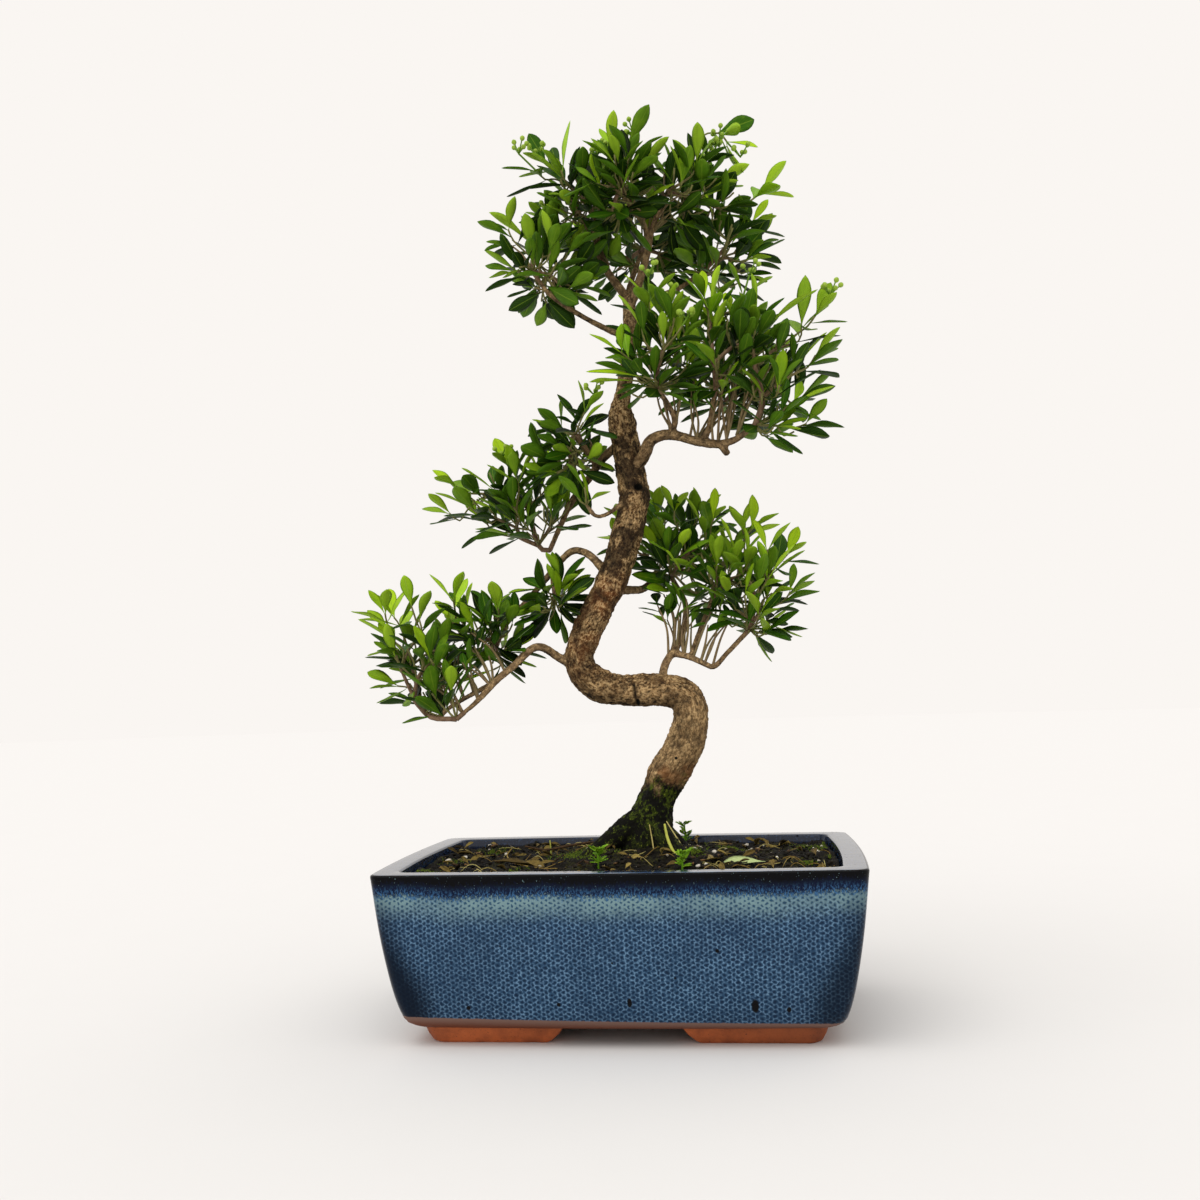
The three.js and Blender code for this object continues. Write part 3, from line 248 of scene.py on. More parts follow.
# Thin bare twigs that fan out from a branch: the spray that they belong to, the two ends of the stretch
# that they start on, the middle of the stretch that they end on, how far they stray from it, and their
# number.
FANS: tuple[tuple[str, Row, Row, Row, float, int], ...] = (
    ("spray_right_low_up", (26, 5, 205), (31, 8, 212), (24, 12, 238), 9, 5),
    ("spray_right_low_middle", (30, 7, 207), (45, 1, 201), (43, 8, 232), 8, 9),
    ("spray_right_low_end", (45, 0, 201), (52, -1, 198), (60, 4, 226), 7, 5),
    ("spray_upper_right_near", (33, -18, 333), (37, -21, 338), (34, -30, 358), 10, 6),
    ("spray_upper_right_mid", (44, -22, 329), (58, -26, 325), (56, -30, 350), 11, 7),
    ("spray_upper_right_end", (60, -27, 324), (77, -34, 329), (76, -34, 360), 9, 13),
    ("spray_left_low_front", (-66, -21, 198), (-90, -32, 175), (-90, -27, 206), 9, 13),
    ("spray_left_low_back", (-88, -10, 186), (-110, 3, 175), (-106, 0, 204), 8, 9),
    ("spray_left_upper_near", (-14, 11, 320), (-20, 3, 331), (-26, 0, 340), 9, 5),
    ("spray_left_low_middle", (-61, 16, 241), (-77, 8, 217), (-80, 2, 226), 12, 8),
    ("spray_crown_low_left", (-25, -14, 413), (-43, -22, 430), (-44, -16, 441), 12, 8),
    ("spray_crown_left", (-3, 8, 440), (-11, 15, 470), (-22, 0, 472), 14, 9),
    ("spray_crown_front", (21, -10, 460), (13, -18, 475), (8, -28, 484), 13, 8),
    ("spray_crown_top", (24, -4, 452), (32, -8, 474), (42, -8, 478), 13, 8),
)

# Leaves in shown and fresh stand at listed places: foot x, y, z and tip x, y, z. Those in fresh stand on new
# shoots.
SPRAYS: tuple[SprayPlan, ...] = (
    SprayPlan("spray_crown_low_left", "crown_left_low", (-52, -14, 449), (20, 24, 24), 5, extra=26,
        drift=(18, 4, -10), buds=1, shown=((-48, -6, 457, -70, -10, 479), (-57, -8, 440, -74, -11, 453),
        (-58, -16, 437, -69, -28, 430), (-51, -30, 434, -58, -42, 422))),
    SprayPlan("spray_crown_left", "crown_left", (-24, 0, 496), (26, 32, 24), 5, extra=22, drift=(6, 0, -14),
        buds=3, shown=((-38, -2, 507, -49, -16, 512), (-27, -14, 493, -43, -20, 508)),
        fresh=((-28, -6, 499, -24, -8, 530),)),
    SprayPlan("spray_crown_front", "crown_front", (4, -28, 498), (28, 22, 24), 5, extra=26, drift=(0, 8, -20),
        buds=3, shown=((18, -14, 490, 36, -16, 512),), fresh=((3, -18, 506, 6, -30, 524),
        (34, -36, 486, 45, -46, 494))),
    SprayPlan("spray_crown_top", "crown_right", (46, 2, 495), (34, 32, 24), 6, extra=26, drift=(0, 0, -12),
        buds=3, shown=((57, -10, 484, 45, -12, 512), (54, 0, 478, 75, -2, 490), (72, 12, 518, 74, 6, 496)),
        fresh=((65, 8, 489, 83, 4, 502), (91, 8, 483, 105, 6, 500))),
    SprayPlan("spray_crown_right", "crown_side", (72, 16, 452), (26, 32, 22), 5, extra=18, drift=(-4, 0, 0),
        shown=((85, 6, 464, 99, -6, 465), (81, 4, 441, 95, -8, 438), (78, 22, 437, 92, 12, 430))),
    SprayPlan("spray_crown_back", "crown_back", (12, 52, 484), (44, 22, 32), 6, extra=22, drift=(0, 0, -12)),
    SprayPlan("spray_upper_right_near", "upper_right_up", (22, -50, 380), (26, 18, 26), 6, extra=22,
        drift=(4, 8, -8), buds=2, shown=((33, -52, 378, 34, -64, 392), (21, -52, 359, -8, -55, 366),
        (13, -42, 360, -9, -44, 362)), fresh=((31, -46, 377, 12, -49, 402), (9, -50, 374, -6, -58, 385))),
    SprayPlan("spray_upper_right_mid", "upper_right_mid", (66, -34, 388), (28, 28, 28), 5, extra=26,
        drift=(0, 0, -12), buds=1, shown=((60, -46, 382, 67, -52, 399), (84, -38, 388, 85, -40, 418),
        (56, -30, 408, 52, -44, 420)), fresh=((59, -40, 399, 64, -42, 422),)),
    SprayPlan("spray_upper_right_end", "upper_right", (102, -36, 364), (24, 28, 34), 6, extra=24,
        drift=(-6, 0, -8), buds=1, shown=((88, -44, 384, 114, -46, 405), (110, -32, 387, 113, -34, 414),
        (118, -38, 392, 129, -49, 402), (93, -38, 330, 105, -53, 324)),
        fresh=((104, -36, 343, 124, -38, 352),)),
    SprayPlan("spray_upper_right_back", "upper_right_back", (66, 12, 378), (38, 18, 28), 6, extra=16),
    SprayPlan("spray_left_upper", "left_upper", (-72, 28, 304), (36, 30, 24), 8, extra=24, drift=(8, 0, 2),
        buds=1, shown=((-73, 34, 329, -80, 20, 338), (-82, 30, 314, -100, 28, 330),
        (-104, 24, 316, -113, 9, 322), (-110, 28, 300, -119, 14, 312), (-38, 32, 288, -26, 20, 284)),
        fresh=((-67, 30, 292, -92, 28, 307), (-46, 26, 308, -40, 24, 332))),
    SprayPlan("spray_left_upper_near", "left_upper_fork", (-28, -4, 348), (18, 20, 18), 4, extra=24,
        drift=(-4, 14, -22), buds=1, shown=((-17, -12, 351, -6, -25, 361), (-18, -16, 343, -6, -26, 354),
        (-31, -8, 340, -48, -10, 350))),
    SprayPlan("spray_left_twig", "left_upper_twig", (-18, -16, 298), (8, 8, 8), 1, extra=2,
        shown=((-16, -15, 297, -3, -29, 302),)),
    SprayPlan("spray_left_middle", "left_middle_fork", (-40, 2, 240), (12, 18, 14), 3, extra=10,
        shown=((-33, 1, 240, -20, -10, 247), (-42, 8, 240, -33, -6, 232))),
    SprayPlan("spray_left_low_middle", "left_middle", (-84, 2, 226), (22, 24, 20), 5, extra=18,
        drift=(0, 0, -4), shown=((-72, -14, 236, -71, -29, 251), (-76, -12, 200, -94, -20, 193)),
        fresh=((-102, 0, 243, -95, -12, 260),)),
    SprayPlan("spray_left_low_front", "left_low", (-116, -28, 206), (26, 16, 26), 6, extra=13,
        drift=(8, 0, -6), shown=((-139, -18, 235, -134, -31, 250), (-134, -16, 218, -152, -18, 234),
        (-131, -22, 192, -144, -36, 193)), fresh=((-124, -14, 239, -126, -23, 257),)),
    SprayPlan("spray_left_low_back", "left_low_back", (-122, 10, 208), (24, 20, 28), 5, extra=8,
        shown=((-140, 4, 234, -149, -6, 250), (-132, 6, 200, -139, -12, 204))),
    SprayPlan("spray_right_low_up", "right_low", (34, 26, 274), (28, 28, 22), 6, extra=22, drift=(2, 0, -14),
        shown=((49, 22, 283, 40, 20, 304), (21, 20, 268, 13, 6, 278), (14, 26, 257, 1, 13, 252)),
        fresh=((34, 12, 268, 40, -2, 280),)),
    SprayPlan("spray_right_low_middle", "right_low_mid", (60, 18, 266), (22, 28, 22), 5, extra=22,
        drift=(0, 0, -16), shown=((55, 22, 288, 61, 6, 294), (72, 30, 282, 66, 18, 296)),
        fresh=((69, 12, 261, 63, 10, 287), (62, 8, 252, 72, 4, 268))),
    SprayPlan("spray_right_low_end", "right_low_arm", (86, 6, 242), (22, 26, 26), 7, extra=20,
        drift=(-8, 0, -6), shown=((78, 16, 280, 92, 4, 289), (98, 10, 263, 109, -4, 270),
        (88, 6, 240, 100, -9, 243), (86, 2, 222, 104, -2, 212)), fresh=((86, -4, 248, 100, -8, 267),
        (68, -7, 231, 70, -17, 246))),
    SprayPlan("spray_back", "back", (24, 62, 282), (34, 22, 24), 5, extra=12),
)

# Flower buds: the spray whose twig carries them, and where they stand.
BUDS: tuple[tuple[str, Row], ...] = (
    ("spray_crown_front", (14, -10, 514)), ("spray_crown_top", (63, 4, 508)),
    ("spray_upper_right_near", (44, -54, 386)),
)

# Small plants in the soil: x, y, height and number of leaves.
WEEDS: Rows = ((-12, -52, 10, 4), (34, -58, 9, 3), (30, 40, 13, 3))

# Dead leaves on the soil: x, y, heading in degrees and length.
FALLEN: Rows = ((-74, -38, 20, 24), (-62, -22, -35, 20), (46, -44, 70, 22), (78, -46, 160, 24),
    (-96, 18, 100, 19))


def unit(vector: Array) -> Array:
    """Scales a vector to a length of 1."""
    return vector * (1.0 / math.sqrt(float(vector @ vector)))


def heading(angle: float, rise: float = 0.0) -> Array:
    """Gives the way that an angle round the upright axis points, with a rise."""
    return np.array((math.cos(angle), math.sin(angle), rise))


def paint(red: int, green: int, blue: int) -> Row:
    """Turns a colour written as 0 to 255 screen values into linear values and an alpha of 1."""
    values = [value / 255 for value in (red, green, blue)]
    return (*(v / 12.92 if v <= 0.04045 else ((v + 0.055) / 1.055) ** 2.4 for v in values), 1.0)


class RandomStream:
    """A seeded stream of numbers from 0 to 1, the same one that places the solids."""

    MASK = 0xFFFFFFFF

    def __init__(self, seed: int) -> None:
        """Starts the stream."""
        self.state = seed & self.MASK

    def next(self) -> float:
        """Draws the next number.

        Returns:
            A number from 0 up to 1.
        """
        self.state = state = (self.state + 0x6D2B79F5) & self.MASK
        mixed = ((state ^ (state >> 15)) * (state | 1)) & self.MASK
        mixed = ((mixed + (((mixed ^ (mixed >> 7)) * (mixed | 61)) & self.MASK)) & self.MASK) ^ mixed
        return (mixed ^ (mixed >> 14)) / 4294967296

    def between(self, low: float, high: float) -> float:
        """Draws a number between two limits."""
        return low + (high - low) * self.next()

    def three(self) -> Array:
        """Draws three numbers."""
        return np.array([self.next(), self.next(), self.next()])

    def around(self, spread: float = 1.0) -> Array:
        """Draws three numbers round zero, within half the spread."""
        return (self.three() - 0.5) * spread


def pot_middle() -> Array:
    """Finds the middle of the pot's footprint in the frame."""
    low, high = (np.array(corner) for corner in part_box("pot"))
    return np.array(((low[0] + high[0]) / 2 / MM, (low[1] + high[1]) / 2 / MM, low[2] / MM))


SHIFT = pot_middle()


def soil_height(x: Array | float, y: Array | float) -> Array | float:
    """Gives the height of the soil's top.

    Args:
        x: Place along the pot.
        y: Place across the pot.

    Returns:
        The height there.
    """
    spread = ((x - SOIL.mound_x) ** 2 + y ** 2) / (2 * SOIL.mound_spread ** 2)
    ripple = np.sin(x * 0.21 + y * 0.13) + np.sin(y * 0.27 - x * 0.09) + np.sin(x * 0.11 - y * 0.31)
    return SOIL.edge_height + SOIL.mound * np.exp(-spread) + SOIL.roughness * ripple


def on_soil(x: float, y: float) -> Array:
    """Gives the point of the soil's top over a place."""
    return np.array((x, y, float(soil_height(x, y))))


@dataclass
class MeshBuilder:
    """Collects blocks of points and faces, and turns them into one piece on the frame."""

    name: str
    points: list[Array] = field(default_factory=list)
    uvs: list[Array] = field(default_factory=list)
    tones: list[Array] = field(default_factory=list)
    corners: list[Array] = field(default_factory=list)
    sizes: list[Array] = field(default_factory=list)
    slots: list[Array] = field(default_factory=list)
    count: int = 0

    def add(self, points: Array, faces: Array | list, slot: int = 0, uv: Array | None = None,
            tone: Array | float = 0.0) -> None:
        """Adds a block.

        Args:
            points: Points as rows of x, y, z in millimetres.
            faces: Rows of point numbers within the block, all of one length.
            slot: Material slot of the faces.
            uv: Texture place of each point, if it has one.
            tone: Shade of each point from 0 to 1, or one for all.
        """
        points = np.asarray(points, dtype=float)
        self.points.append(points)
        self.uvs.append(np.zeros((len(points), 2)) if uv is None else uv)
        self.tones.append(np.broadcast_to(np.asarray(tone, dtype=float), (len(points),)))
        self.count += len(points)
        self.add_faces(faces, slot, len(points))

    def add_faces(self, faces: Array | list, slot: int | Array, last: int) -> None:
        """Adds faces to the points that were added last.

        Args:
            faces: Rows of point numbers among those points, all of one length.
            slot: Material slot of all or of each.
            last: How many points back the numbers start.
        """
        faces = np.atleast_2d(np.asarray(faces, dtype=np.int64))
        self.corners.append((faces + self.count - last).ravel())
        self.sizes.append(np.full(len(faces), faces.shape[1]))
        self.slots.append(np.broadcast_to(slot, (len(faces),)))

    def build(self, materials: list[Material]) -> Piece:
        """Makes the mesh and its object.

        Args:
            materials: Materials in slot order.

        Returns:
            The new object, which rides on the frame's body.
        """
        points = (np.concatenate(self.points) + SHIFT) * MM
        corners, sizes = np.concatenate(self.corners), np.concatenate(self.sizes)
        mesh = bpy.data.meshes.new(self.name)
        mesh.vertices.add(len(points))
        mesh.vertices.foreach_set("co", points.ravel())
        mesh.loops.add(len(corners))
        mesh.loops.foreach_set("vertex_index", corners)
        mesh.polygons.add(len(sizes))
        mesh.polygons.foreach_set("loop_start", np.concatenate(([0], np.cumsum(sizes)[:-1])))
        mesh.polygons.foreach_set("material_index", np.concatenate(self.slots))
        mesh.update(calc_edges=True)
        mesh.uv_layers.new(name="UVMap").data.foreach_set("uv", np.concatenate(self.uvs)[corners].ravel())
        store(mesh, "tone", np.concatenate(self.tones))
        mesh.shade_smooth()
        for material in materials:
            mesh.materials.append(material)
        piece = bpy.data.objects.new(self.name, mesh)
        bpy.context.scene.collection.objects.link(piece)
        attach(piece, BODY)
        log.info("%s: %d faces", piece.name, len(mesh.polygons))
        return piece


def store(mesh: bpy.types.Mesh, name: str, values: Array) -> None:
    """Stores a number or a vector for each point of a mesh, where materials can read it.

    Args:
        mesh: The mesh.
        name: What materials read it by.
        values: One row for each point.
    """
    kind, key = ("FLOAT", "value") if values.ndim == 1 else ("FLOAT_VECTOR", "vector")
    made = mesh.attributes.get(name) or mesh.attributes.new(name, kind, "POINT")
    made.data.foreach_set(key, values.ravel())


def grid_faces(rows: int, columns: int, closed: bool = False) -> Array:
    """Numbers the four-sided faces of a grid of points that is stored row by row.

    Args:
        rows: Number of rows of points.
        columns: Number of points in a row.
        closed: Whether each row's last point joins its first.

    Returns:
        Rows of four point numbers.
    """
    row, column = np.meshgrid(np.arange(rows - 1), np.arange(columns - (not closed)), indexing="ij")
    here = (row * columns + column).ravel()
    beside = (row * columns + (column + 1) % columns).ravel()
    return np.stack([here, beside, beside + columns, here + columns], axis=1)


def smooth_rows(rows: Rows | Array, step: float) -> Array:
    """Runs a smooth line through rows of numbers whose first three are a place.

    Args:
        rows: Rows to pass through.
        step: Distance between the new rows.

    Returns:
        The new rows, closer together.
    """
    keys = np.asarray(rows, dtype=float)
    padded = np.vstack([2 * keys[0] - keys[1], keys, 2 * keys[-1] - keys[-2]])
    fine = []
    for index in range(1, len(padded) - 2):
        before, start, end, after = padded[index - 1:index + 3]
        count = max(1, round(float(np.linalg.norm((end - start)[:3])) / step))
        for t in (part / count for part in range(count)):
            fine.append(0.5 * (2 * start + (end - before) * t
                               + (2 * before - 5 * start + 4 * end - after) * t * t
                               + (3 * start - before - 3 * end + after) * t ** 3))
    return np.array([*fine, keys[-1]])


def tube_frames(centres: Array) -> Array:
    """Finds three square directions at each point of a line.

    Args:
        centres: The line's points.

    Returns:
        For each point the rows along, across and third.
    """
    along = np.vstack([centres[1] - centres[0], centres[2:] - centres[:-2], centres[-1] - centres[-2]])
    across = None
    frames = []
    for way in map(unit, along):
        if across is None:
            across = np.cross((0.0, -1.0, 0.0), way)
            if np.linalg.norm(across) < 0.2:
                across = np.cross((1.0, 0.0, 0.0), way)
        across = unit(across - way * (across @ way))
        frames.append((way, across, np.cross(way, across)))
    return np.array(frames)


def add_loft(builder: MeshBuilder, rings: list[Array], slots: Array | int, caps: tuple[int, int],
             tone: Array | float = 0.0) -> None:
    """Adds a closed skin over rings that have the same number of points.

    Args:
        builder: The builder that takes it.
        rings: Rings, counter-clockwise seen from the last, from the first cap to the last.
        slots: Material slot of each band between two rings, or one for all.
        caps: Material slots of the first and the last end.
        tone: Shade of each point, or one for all.
    """
    around, bands = len(rings[0]), len(rings) - 1
    builder.add(np.vstack(rings), grid_faces(bands + 1, around, closed=True), tone=tone)
    builder.slots[-1] = np.repeat(np.broadcast_to(slots, (bands,)), around)
    numbers = np.arange(around)
    builder.add_faces(numbers[::-1], caps[0], around * (bands + 1))
    builder.add_faces(numbers, caps[1], around)


def add_tube(builder: MeshBuilder, rows: Array, sides: int, slot: int = 0, tone: Array | float = 0.0,
             lobes: float = 0.0) -> None:
    """Adds a closed tube.

    Args:
        builder: The builder that takes it.
        rows: Rows of x, y, z and radius.
        sides: Number of sides.
        slot: Material slot.
        tone: Shade of each row, or one for all.
        lobes: Share of the radius by which three lobes stand out.
    """
    angles = np.arange(sides) / sides * 2 * math.pi
    rings = []
    for (*centre, thick), (_, across, third) in zip(rows, tube_frames(rows[:, :3])):
        radius = thick * (1 + lobes * np.sin(3 * angles + 0.03 * centre[2]))
        rings.append(np.array(centre) + np.outer(radius * np.cos(angles), across)
                     + np.outer(radius * np.sin(angles), third))
    tones = np.repeat(np.broadcast_to(np.asarray(tone, dtype=float), (len(rows),)), sides)
    add_loft(builder, rings, slot, (slot, slot), tones)


@dataclass
class Blade:
    """One leaf: its foot, the way it points, its upper side, its length, its owner and its shade."""

    foot: Array
    along: Array
    upper: Array
    length: float
    owner: str
    tone: float = 0.3

    def __post_init__(self) -> None:
        """Squares the directions and finds the third, to the side."""
        self.along = unit(self.along)
        self.upper = unit(self.upper - self.along * (self.upper @ self.along))
        self.side = np.cross(self.along, self.upper)

    def point(self, share: float, across: float) -> Array:
        """Finds a point of the flat blade, at a share of its length and a distance to the side."""
        lift = -LEAF.droop * self.length * share * share
        return self.foot + self.along * (share * self.length) + self.side * across + self.upper * lift

    def samples(self) -> Array:
        """Gives the twelve points that are tested against what is near.

        Returns:
            Rows of points.
        """
        points = []
        for share in (0.35, 0.55, 0.78, 1.0):
            reach = float(half_width(self.length, share))
            points.extend(self.point(share, across) for across in (-reach, 0.0, reach))
        return np.array(points)


def half_width(length: Array | float, share: Array | float) -> Array | float:
    """Gives half the width of a plain blade: a wedge from the foot, then a blunt tip.

    Args:
        length: The blade's length.
        share: Share of the length.

    Returns:
        Half the width there.
    """
    full = length * LEAF.width_ratio / 2
    wedge = np.clip(share, 0, None) / LEAF.widest
    taper = 1 - (1 - LEAF.tip_width) * (np.minimum(share, 1) - LEAF.widest) / (1 - LEAF.widest)
    return full * np.where(np.asarray(share) < LEAF.widest, wedge, taper)


class Surroundings:
    """Everything that a new twig or leaf has to keep clear of."""

    CAPACITY = 40000

    def __init__(self) -> None:
        """Makes room for the lines of wood and the leaves."""
        self.starts, self.ways, self.feet = (np.zeros((self.CAPACITY, 3)) for _ in range(3))
        self.radii, self.lengths = np.zeros(self.CAPACITY), np.zeros(self.CAPACITY)
        self.owners = np.zeros(self.CAPACITY, dtype=int)
        self.segments = 0
        self.names: dict[str, int] = {}
        self.blades: list[Blade] = []
        self.frames = np.zeros((self.CAPACITY, 3, 3))
        self.probes = np.zeros((self.CAPACITY, 12, 3))
        self.rooms = SOLID_ROOMS

    def note_wood(self, points: list[Array], radii: list[float], owner: str) -> None:
        """Adds a line of wood.

        Args:
            points: Its points.
            radii: Its radius at each point.
            owner: What it belongs to.
        """
        number = self.names.setdefault(owner, len(self.names) + 1)
        for index in range(len(points) - 1):
            row = self.segments
            self.starts[row], self.ways[row] = points[index], points[index + 1] - points[index]
            self.radii[row], self.owners[row] = max(radii[index], radii[index + 1]), number
            self.segments += 1

    def wood_distance(self, points: Array, without: str | None = None) -> Array:
        """Measures how far points are from the nearest wood.

        Args:
            points: Rows of points.
            without: Owner whose wood doesn't count, if any.

        Returns:
            The distance of each point.
        """
        count = self.segments
        starts, ways = self.starts[:count], self.ways[:count]
        offset = points[:, None, :] - starts[None]
        share = np.einsum("psk,sk->ps", offset, ways) / np.maximum(np.einsum("sk,sk->s", ways, ways), 1e-12)
        nearest = offset - np.clip(share, 0, 1)[..., None] * ways
        distance = np.sqrt(np.einsum("psk,psk->ps", nearest, nearest)) - self.radii[:count]
        if without in self.names:
            distance[:, self.owners[:count] == self.names[without]] = 1e9
        return distance.min(axis=1)

    def in_blade(self, offset: Array, frames: Array, lengths: Array, room: float = 0.0) -> Array:
        """Tests whether points lie in or close to blades.

        Args:
            offset: Points less the blades' feet, one row for each pair.
            frames: Each blade's along, side and upper directions.
            lengths: Each blade's length.
            room: More room, for something that has a radius.

        Returns:
            A truth value for each pair.
        """
        along, across, above = (np.einsum("...k,...k->...", offset, frames[..., row, :]) for row in range(3))
        share = along / lengths
        height = above + LEAF.droop * lengths * share * share
        inside = (share >= 0.12) & (share <= 1.1)
        inside &= np.abs(across) < half_width(lengths, share) + self.rooms.side + room
        return inside & (np.abs(height) < self.rooms.face + room)

    def near_blades(self, points: Array, near: Array | slice, room: float = 0.0) -> bool:
        """Tells whether any point is too near to those leaves, with more room for a radius."""
        offset = points[:, None, :] - self.feet[None, near]
        return bool(self.in_blade(offset, self.frames[None, near], self.lengths[None, near], room).any())

    def try_blade(self, blade: Blade) -> bool:
        """Adds a leaf if it has room among the wood and the other leaves.

        Args:
            blade: The leaf.

        Returns:
            Whether it had room.
        """
        samples, count = blade.samples(), len(self.blades)
        axes = np.array((blade.along, blade.side, blade.upper))
        reach = blade.length + LEAF.length * 1.5
        near = np.flatnonzero(np.linalg.norm(self.feet[:count] - blade.foot, axis=1) <= reach)
        if (self.near_blades(samples, near)
                or self.in_blade(self.probes[near] - blade.foot, axes, np.float64(blade.length)).any()
                or not (self.wood_distance(samples) > self.rooms.wood).all()):
            return False
        self.blades.append(blade)
        self.feet[count], self.lengths[count] = blade.foot, blade.length
        self.probes[count], self.frames[count] = samples, axes
        return True

    def twig_is_clear(self, points: list[Array], owner: str | None) -> bool:
        """Tests a new twig against the wood of others and all leaves.

        Args:
            points: The twig's points.
            owner: What it belongs to, whose own wood doesn't count.

        Returns:
            Whether it has room.
        """
        tested = []
        for index in range(len(points) - 1):
            way = points[index + 1] - points[index]
            steps = math.ceil(float(np.linalg.norm(way)) / 2)
            tested.extend(points[index] + way * (step / steps) for step in range(index == 0, steps + 1))
        samples = np.array(tested)
        if (self.wood_distance(samples, owner) < TWIG.tip_radius + self.rooms.twig).any():
            return False
        return not self.near_blades(samples, slice(len(self.blades)), TWIG.tip_radius)


@dataclass
class Joint:
    """A point of a twig and how it hangs together with the rest."""

    point: Array
    direction: Array
    parent: int | None
    run: float
    tip: bool = False
    load: int = 0


@dataclass
class Shoot:
    """The leafy end of a twig."""

    end: Array
    axis: Array
    owner: str
    fresh: bool
    stem: int
    lead: Array | None = None


class Spray:
    """The twigs and leaves that go on from one branch."""

    def __init__(self, plan: SprayPlan, random: RandomStream, around: Surroundings) -> None:
        """Starts the spray at its branch's end.

        Args:
            plan: What is planned for it.
            random: The stream for its solid twigs and leaves.
            around: What it keeps clear of.
        """
        rows = np.array(BRANCHES[plan.branch], dtype=float)
        end = rows[-1, :3]
        self.plan, self.name, self.random, self.around = plan, plan.name, random, around
        self.middle, self.half = np.array(plan.middle, dtype=float), np.array(plan.half, dtype=float)
        self.direction = unit(end - rows[-2, :3])
        self.thickest = float(rows[-1, 3])
        start = end + self.direction * TWIG.gap
        self.joints = [Joint(start, self.direction, None, 0.0),
                       Joint(start + self.direction * 3, self.direction, 0, 3.0)]
        self.stems = [[0, 1]]
        self.shoots: list[Shoot] = []
        self.leafy = 0

    def nearest_joint(self, target: Array) -> int:
        """Finds the joint from which a twig reaches a point by the shortest and straightest way.

        Args:
            target: The point.

        Returns:
            The joint's number.
        """
        best, lowest = 1, math.inf
        for index, joint in enumerate(self.joints):
            if index == 0 or joint.tip:
                continue
            way = target - joint.point
            distance = math.sqrt(float(way @ way))
            cost = distance + 0.35 * joint.run + 9 * (1 - float(way @ joint.direction) / distance)
            if cost < lowest:
                lowest, best = cost, index
        return best

    def grow_to(self, end: Array, axis: Array) -> bool:
        """Grows a twig to a point.

        Args:
            end: The point.
            axis: The way the twig points there.

        Returns:
            Whether there was room for it.
        """
        origin = self.nearest_joint(end)
        joint = self.joints[origin]
        distance = float(np.linalg.norm(end - joint.point))
        parts = min(max(math.floor(distance / 16 + 0.5), 1), 3)
        for attempt in range(6):
            sway = self.random.around() * (attempt * distance * 0.12)
            knots = (joint.point, joint.point + joint.direction * (distance * 0.3) + sway,
                     end - axis * (distance * 0.35) + sway,
                     end - axis * min(TWIG.straight_tip, distance * 0.45))
            points = [bezier(knots, part / parts) for part in range(parts + 1)] + [end]
            if self.around.twig_is_clear(points, self.name):
                self.add_stem(origin, points)
                return True
        return False

    def add_stem(self, origin: int, points: list[Array]) -> None:
        """Takes up a twig that has room.

        Args:
            origin: The joint it starts from.
            points: Its points.
        """
        stem = [origin]
        for index in range(1, len(points)):
            step = points[index] - points[index - 1]
            run = self.joints[stem[-1]].run + float(np.linalg.norm(step))
            self.joints.append(Joint(points[index], unit(step), stem[-1], run, index >= len(points) - 2))
            stem.append(len(self.joints) - 1)
        self.stems.append(stem)
        self.around.note_wood(points, [TWIG.tip_radius] * len(points), self.name)

    def place_shown(self, numbers: Row, fresh: bool) -> None:
        """Places a listed leaf with the shoot that ends in it.

        Args:
            numbers: The leaf's foot and tip.
            fresh: Whether it stands on a new shoot.
        """
        foot = np.array(numbers[:3], dtype=float)
        way = np.array(numbers[3:], dtype=float) - foot
        outward = unit(foot - self.joints[0].point)
        self.place_shoot(foot, unit(unit(way) * 0.65 + outward * 0.35), fresh, way)

    def place_shoot(self, end: Array, axis: Array, fresh: bool = False, lead: Array | None = None) -> None:
        """Grows a shoot to a point if there is room for it.

        Args:
            end: Where it ends.
            axis: The way it points.
            fresh: Whether it is a new shoot.
            lead: The way and length of a listed leaf at its end, if it has one.
        """
        around = self.around
        carrier = end - axis * TWIG.new_shoot if fresh else end
        past = carrier + axis * 3
        if (fresh and not around.twig_is_clear([past, end], None)) or not self.grow_to(carrier, axis):
            return
        owner = f"new_{self.name}_{len(self.shoots)}" if fresh else self.name
        self.shoots.append(Shoot(end, axis, owner, fresh, len(self.stems) - 1, lead))
        if fresh:
            around.note_wood([carrier + axis * TWIG.gap, end], [TWIG.tip_radius] * 2, owner)
        if lead is not None:
            length = float(np.linalg.norm(lead))
            around.try_blade(Blade(end - axis * 0.8, lead, axis + UP, length, owner, 0.95))

    def fill(self, wanted: int, spacing: float, least: float, tries: int = 200, rise: float = 0.35) -> None:
        """Fills the spray's space with shoots drawn at random where no other shoot ends close by.

        Args:
            wanted: Number of shoots to stop at.
            spacing: Least distance between shoot ends.
            least: Share of the space's size within which no shoot ends.
            tries: Number of draws to stop at.
            rise: How strongly shoots turn upwards.
        """
        while len(self.shoots) < wanted and tries > 0:
            tries -= 1
            ball = self.random.three() * 2 - 1
            if not least <= math.sqrt(float(ball @ ball)) <= 1:
                continue
            end = ball * self.half + self.middle
            axis = unit(unit(end - self.joints[0].point) + ball * 0.5 + UP * rise)
            if all(np.linalg.norm(shoot.end - end) > spacing for shoot in self.shoots):
                self.place_shoot(end, axis)

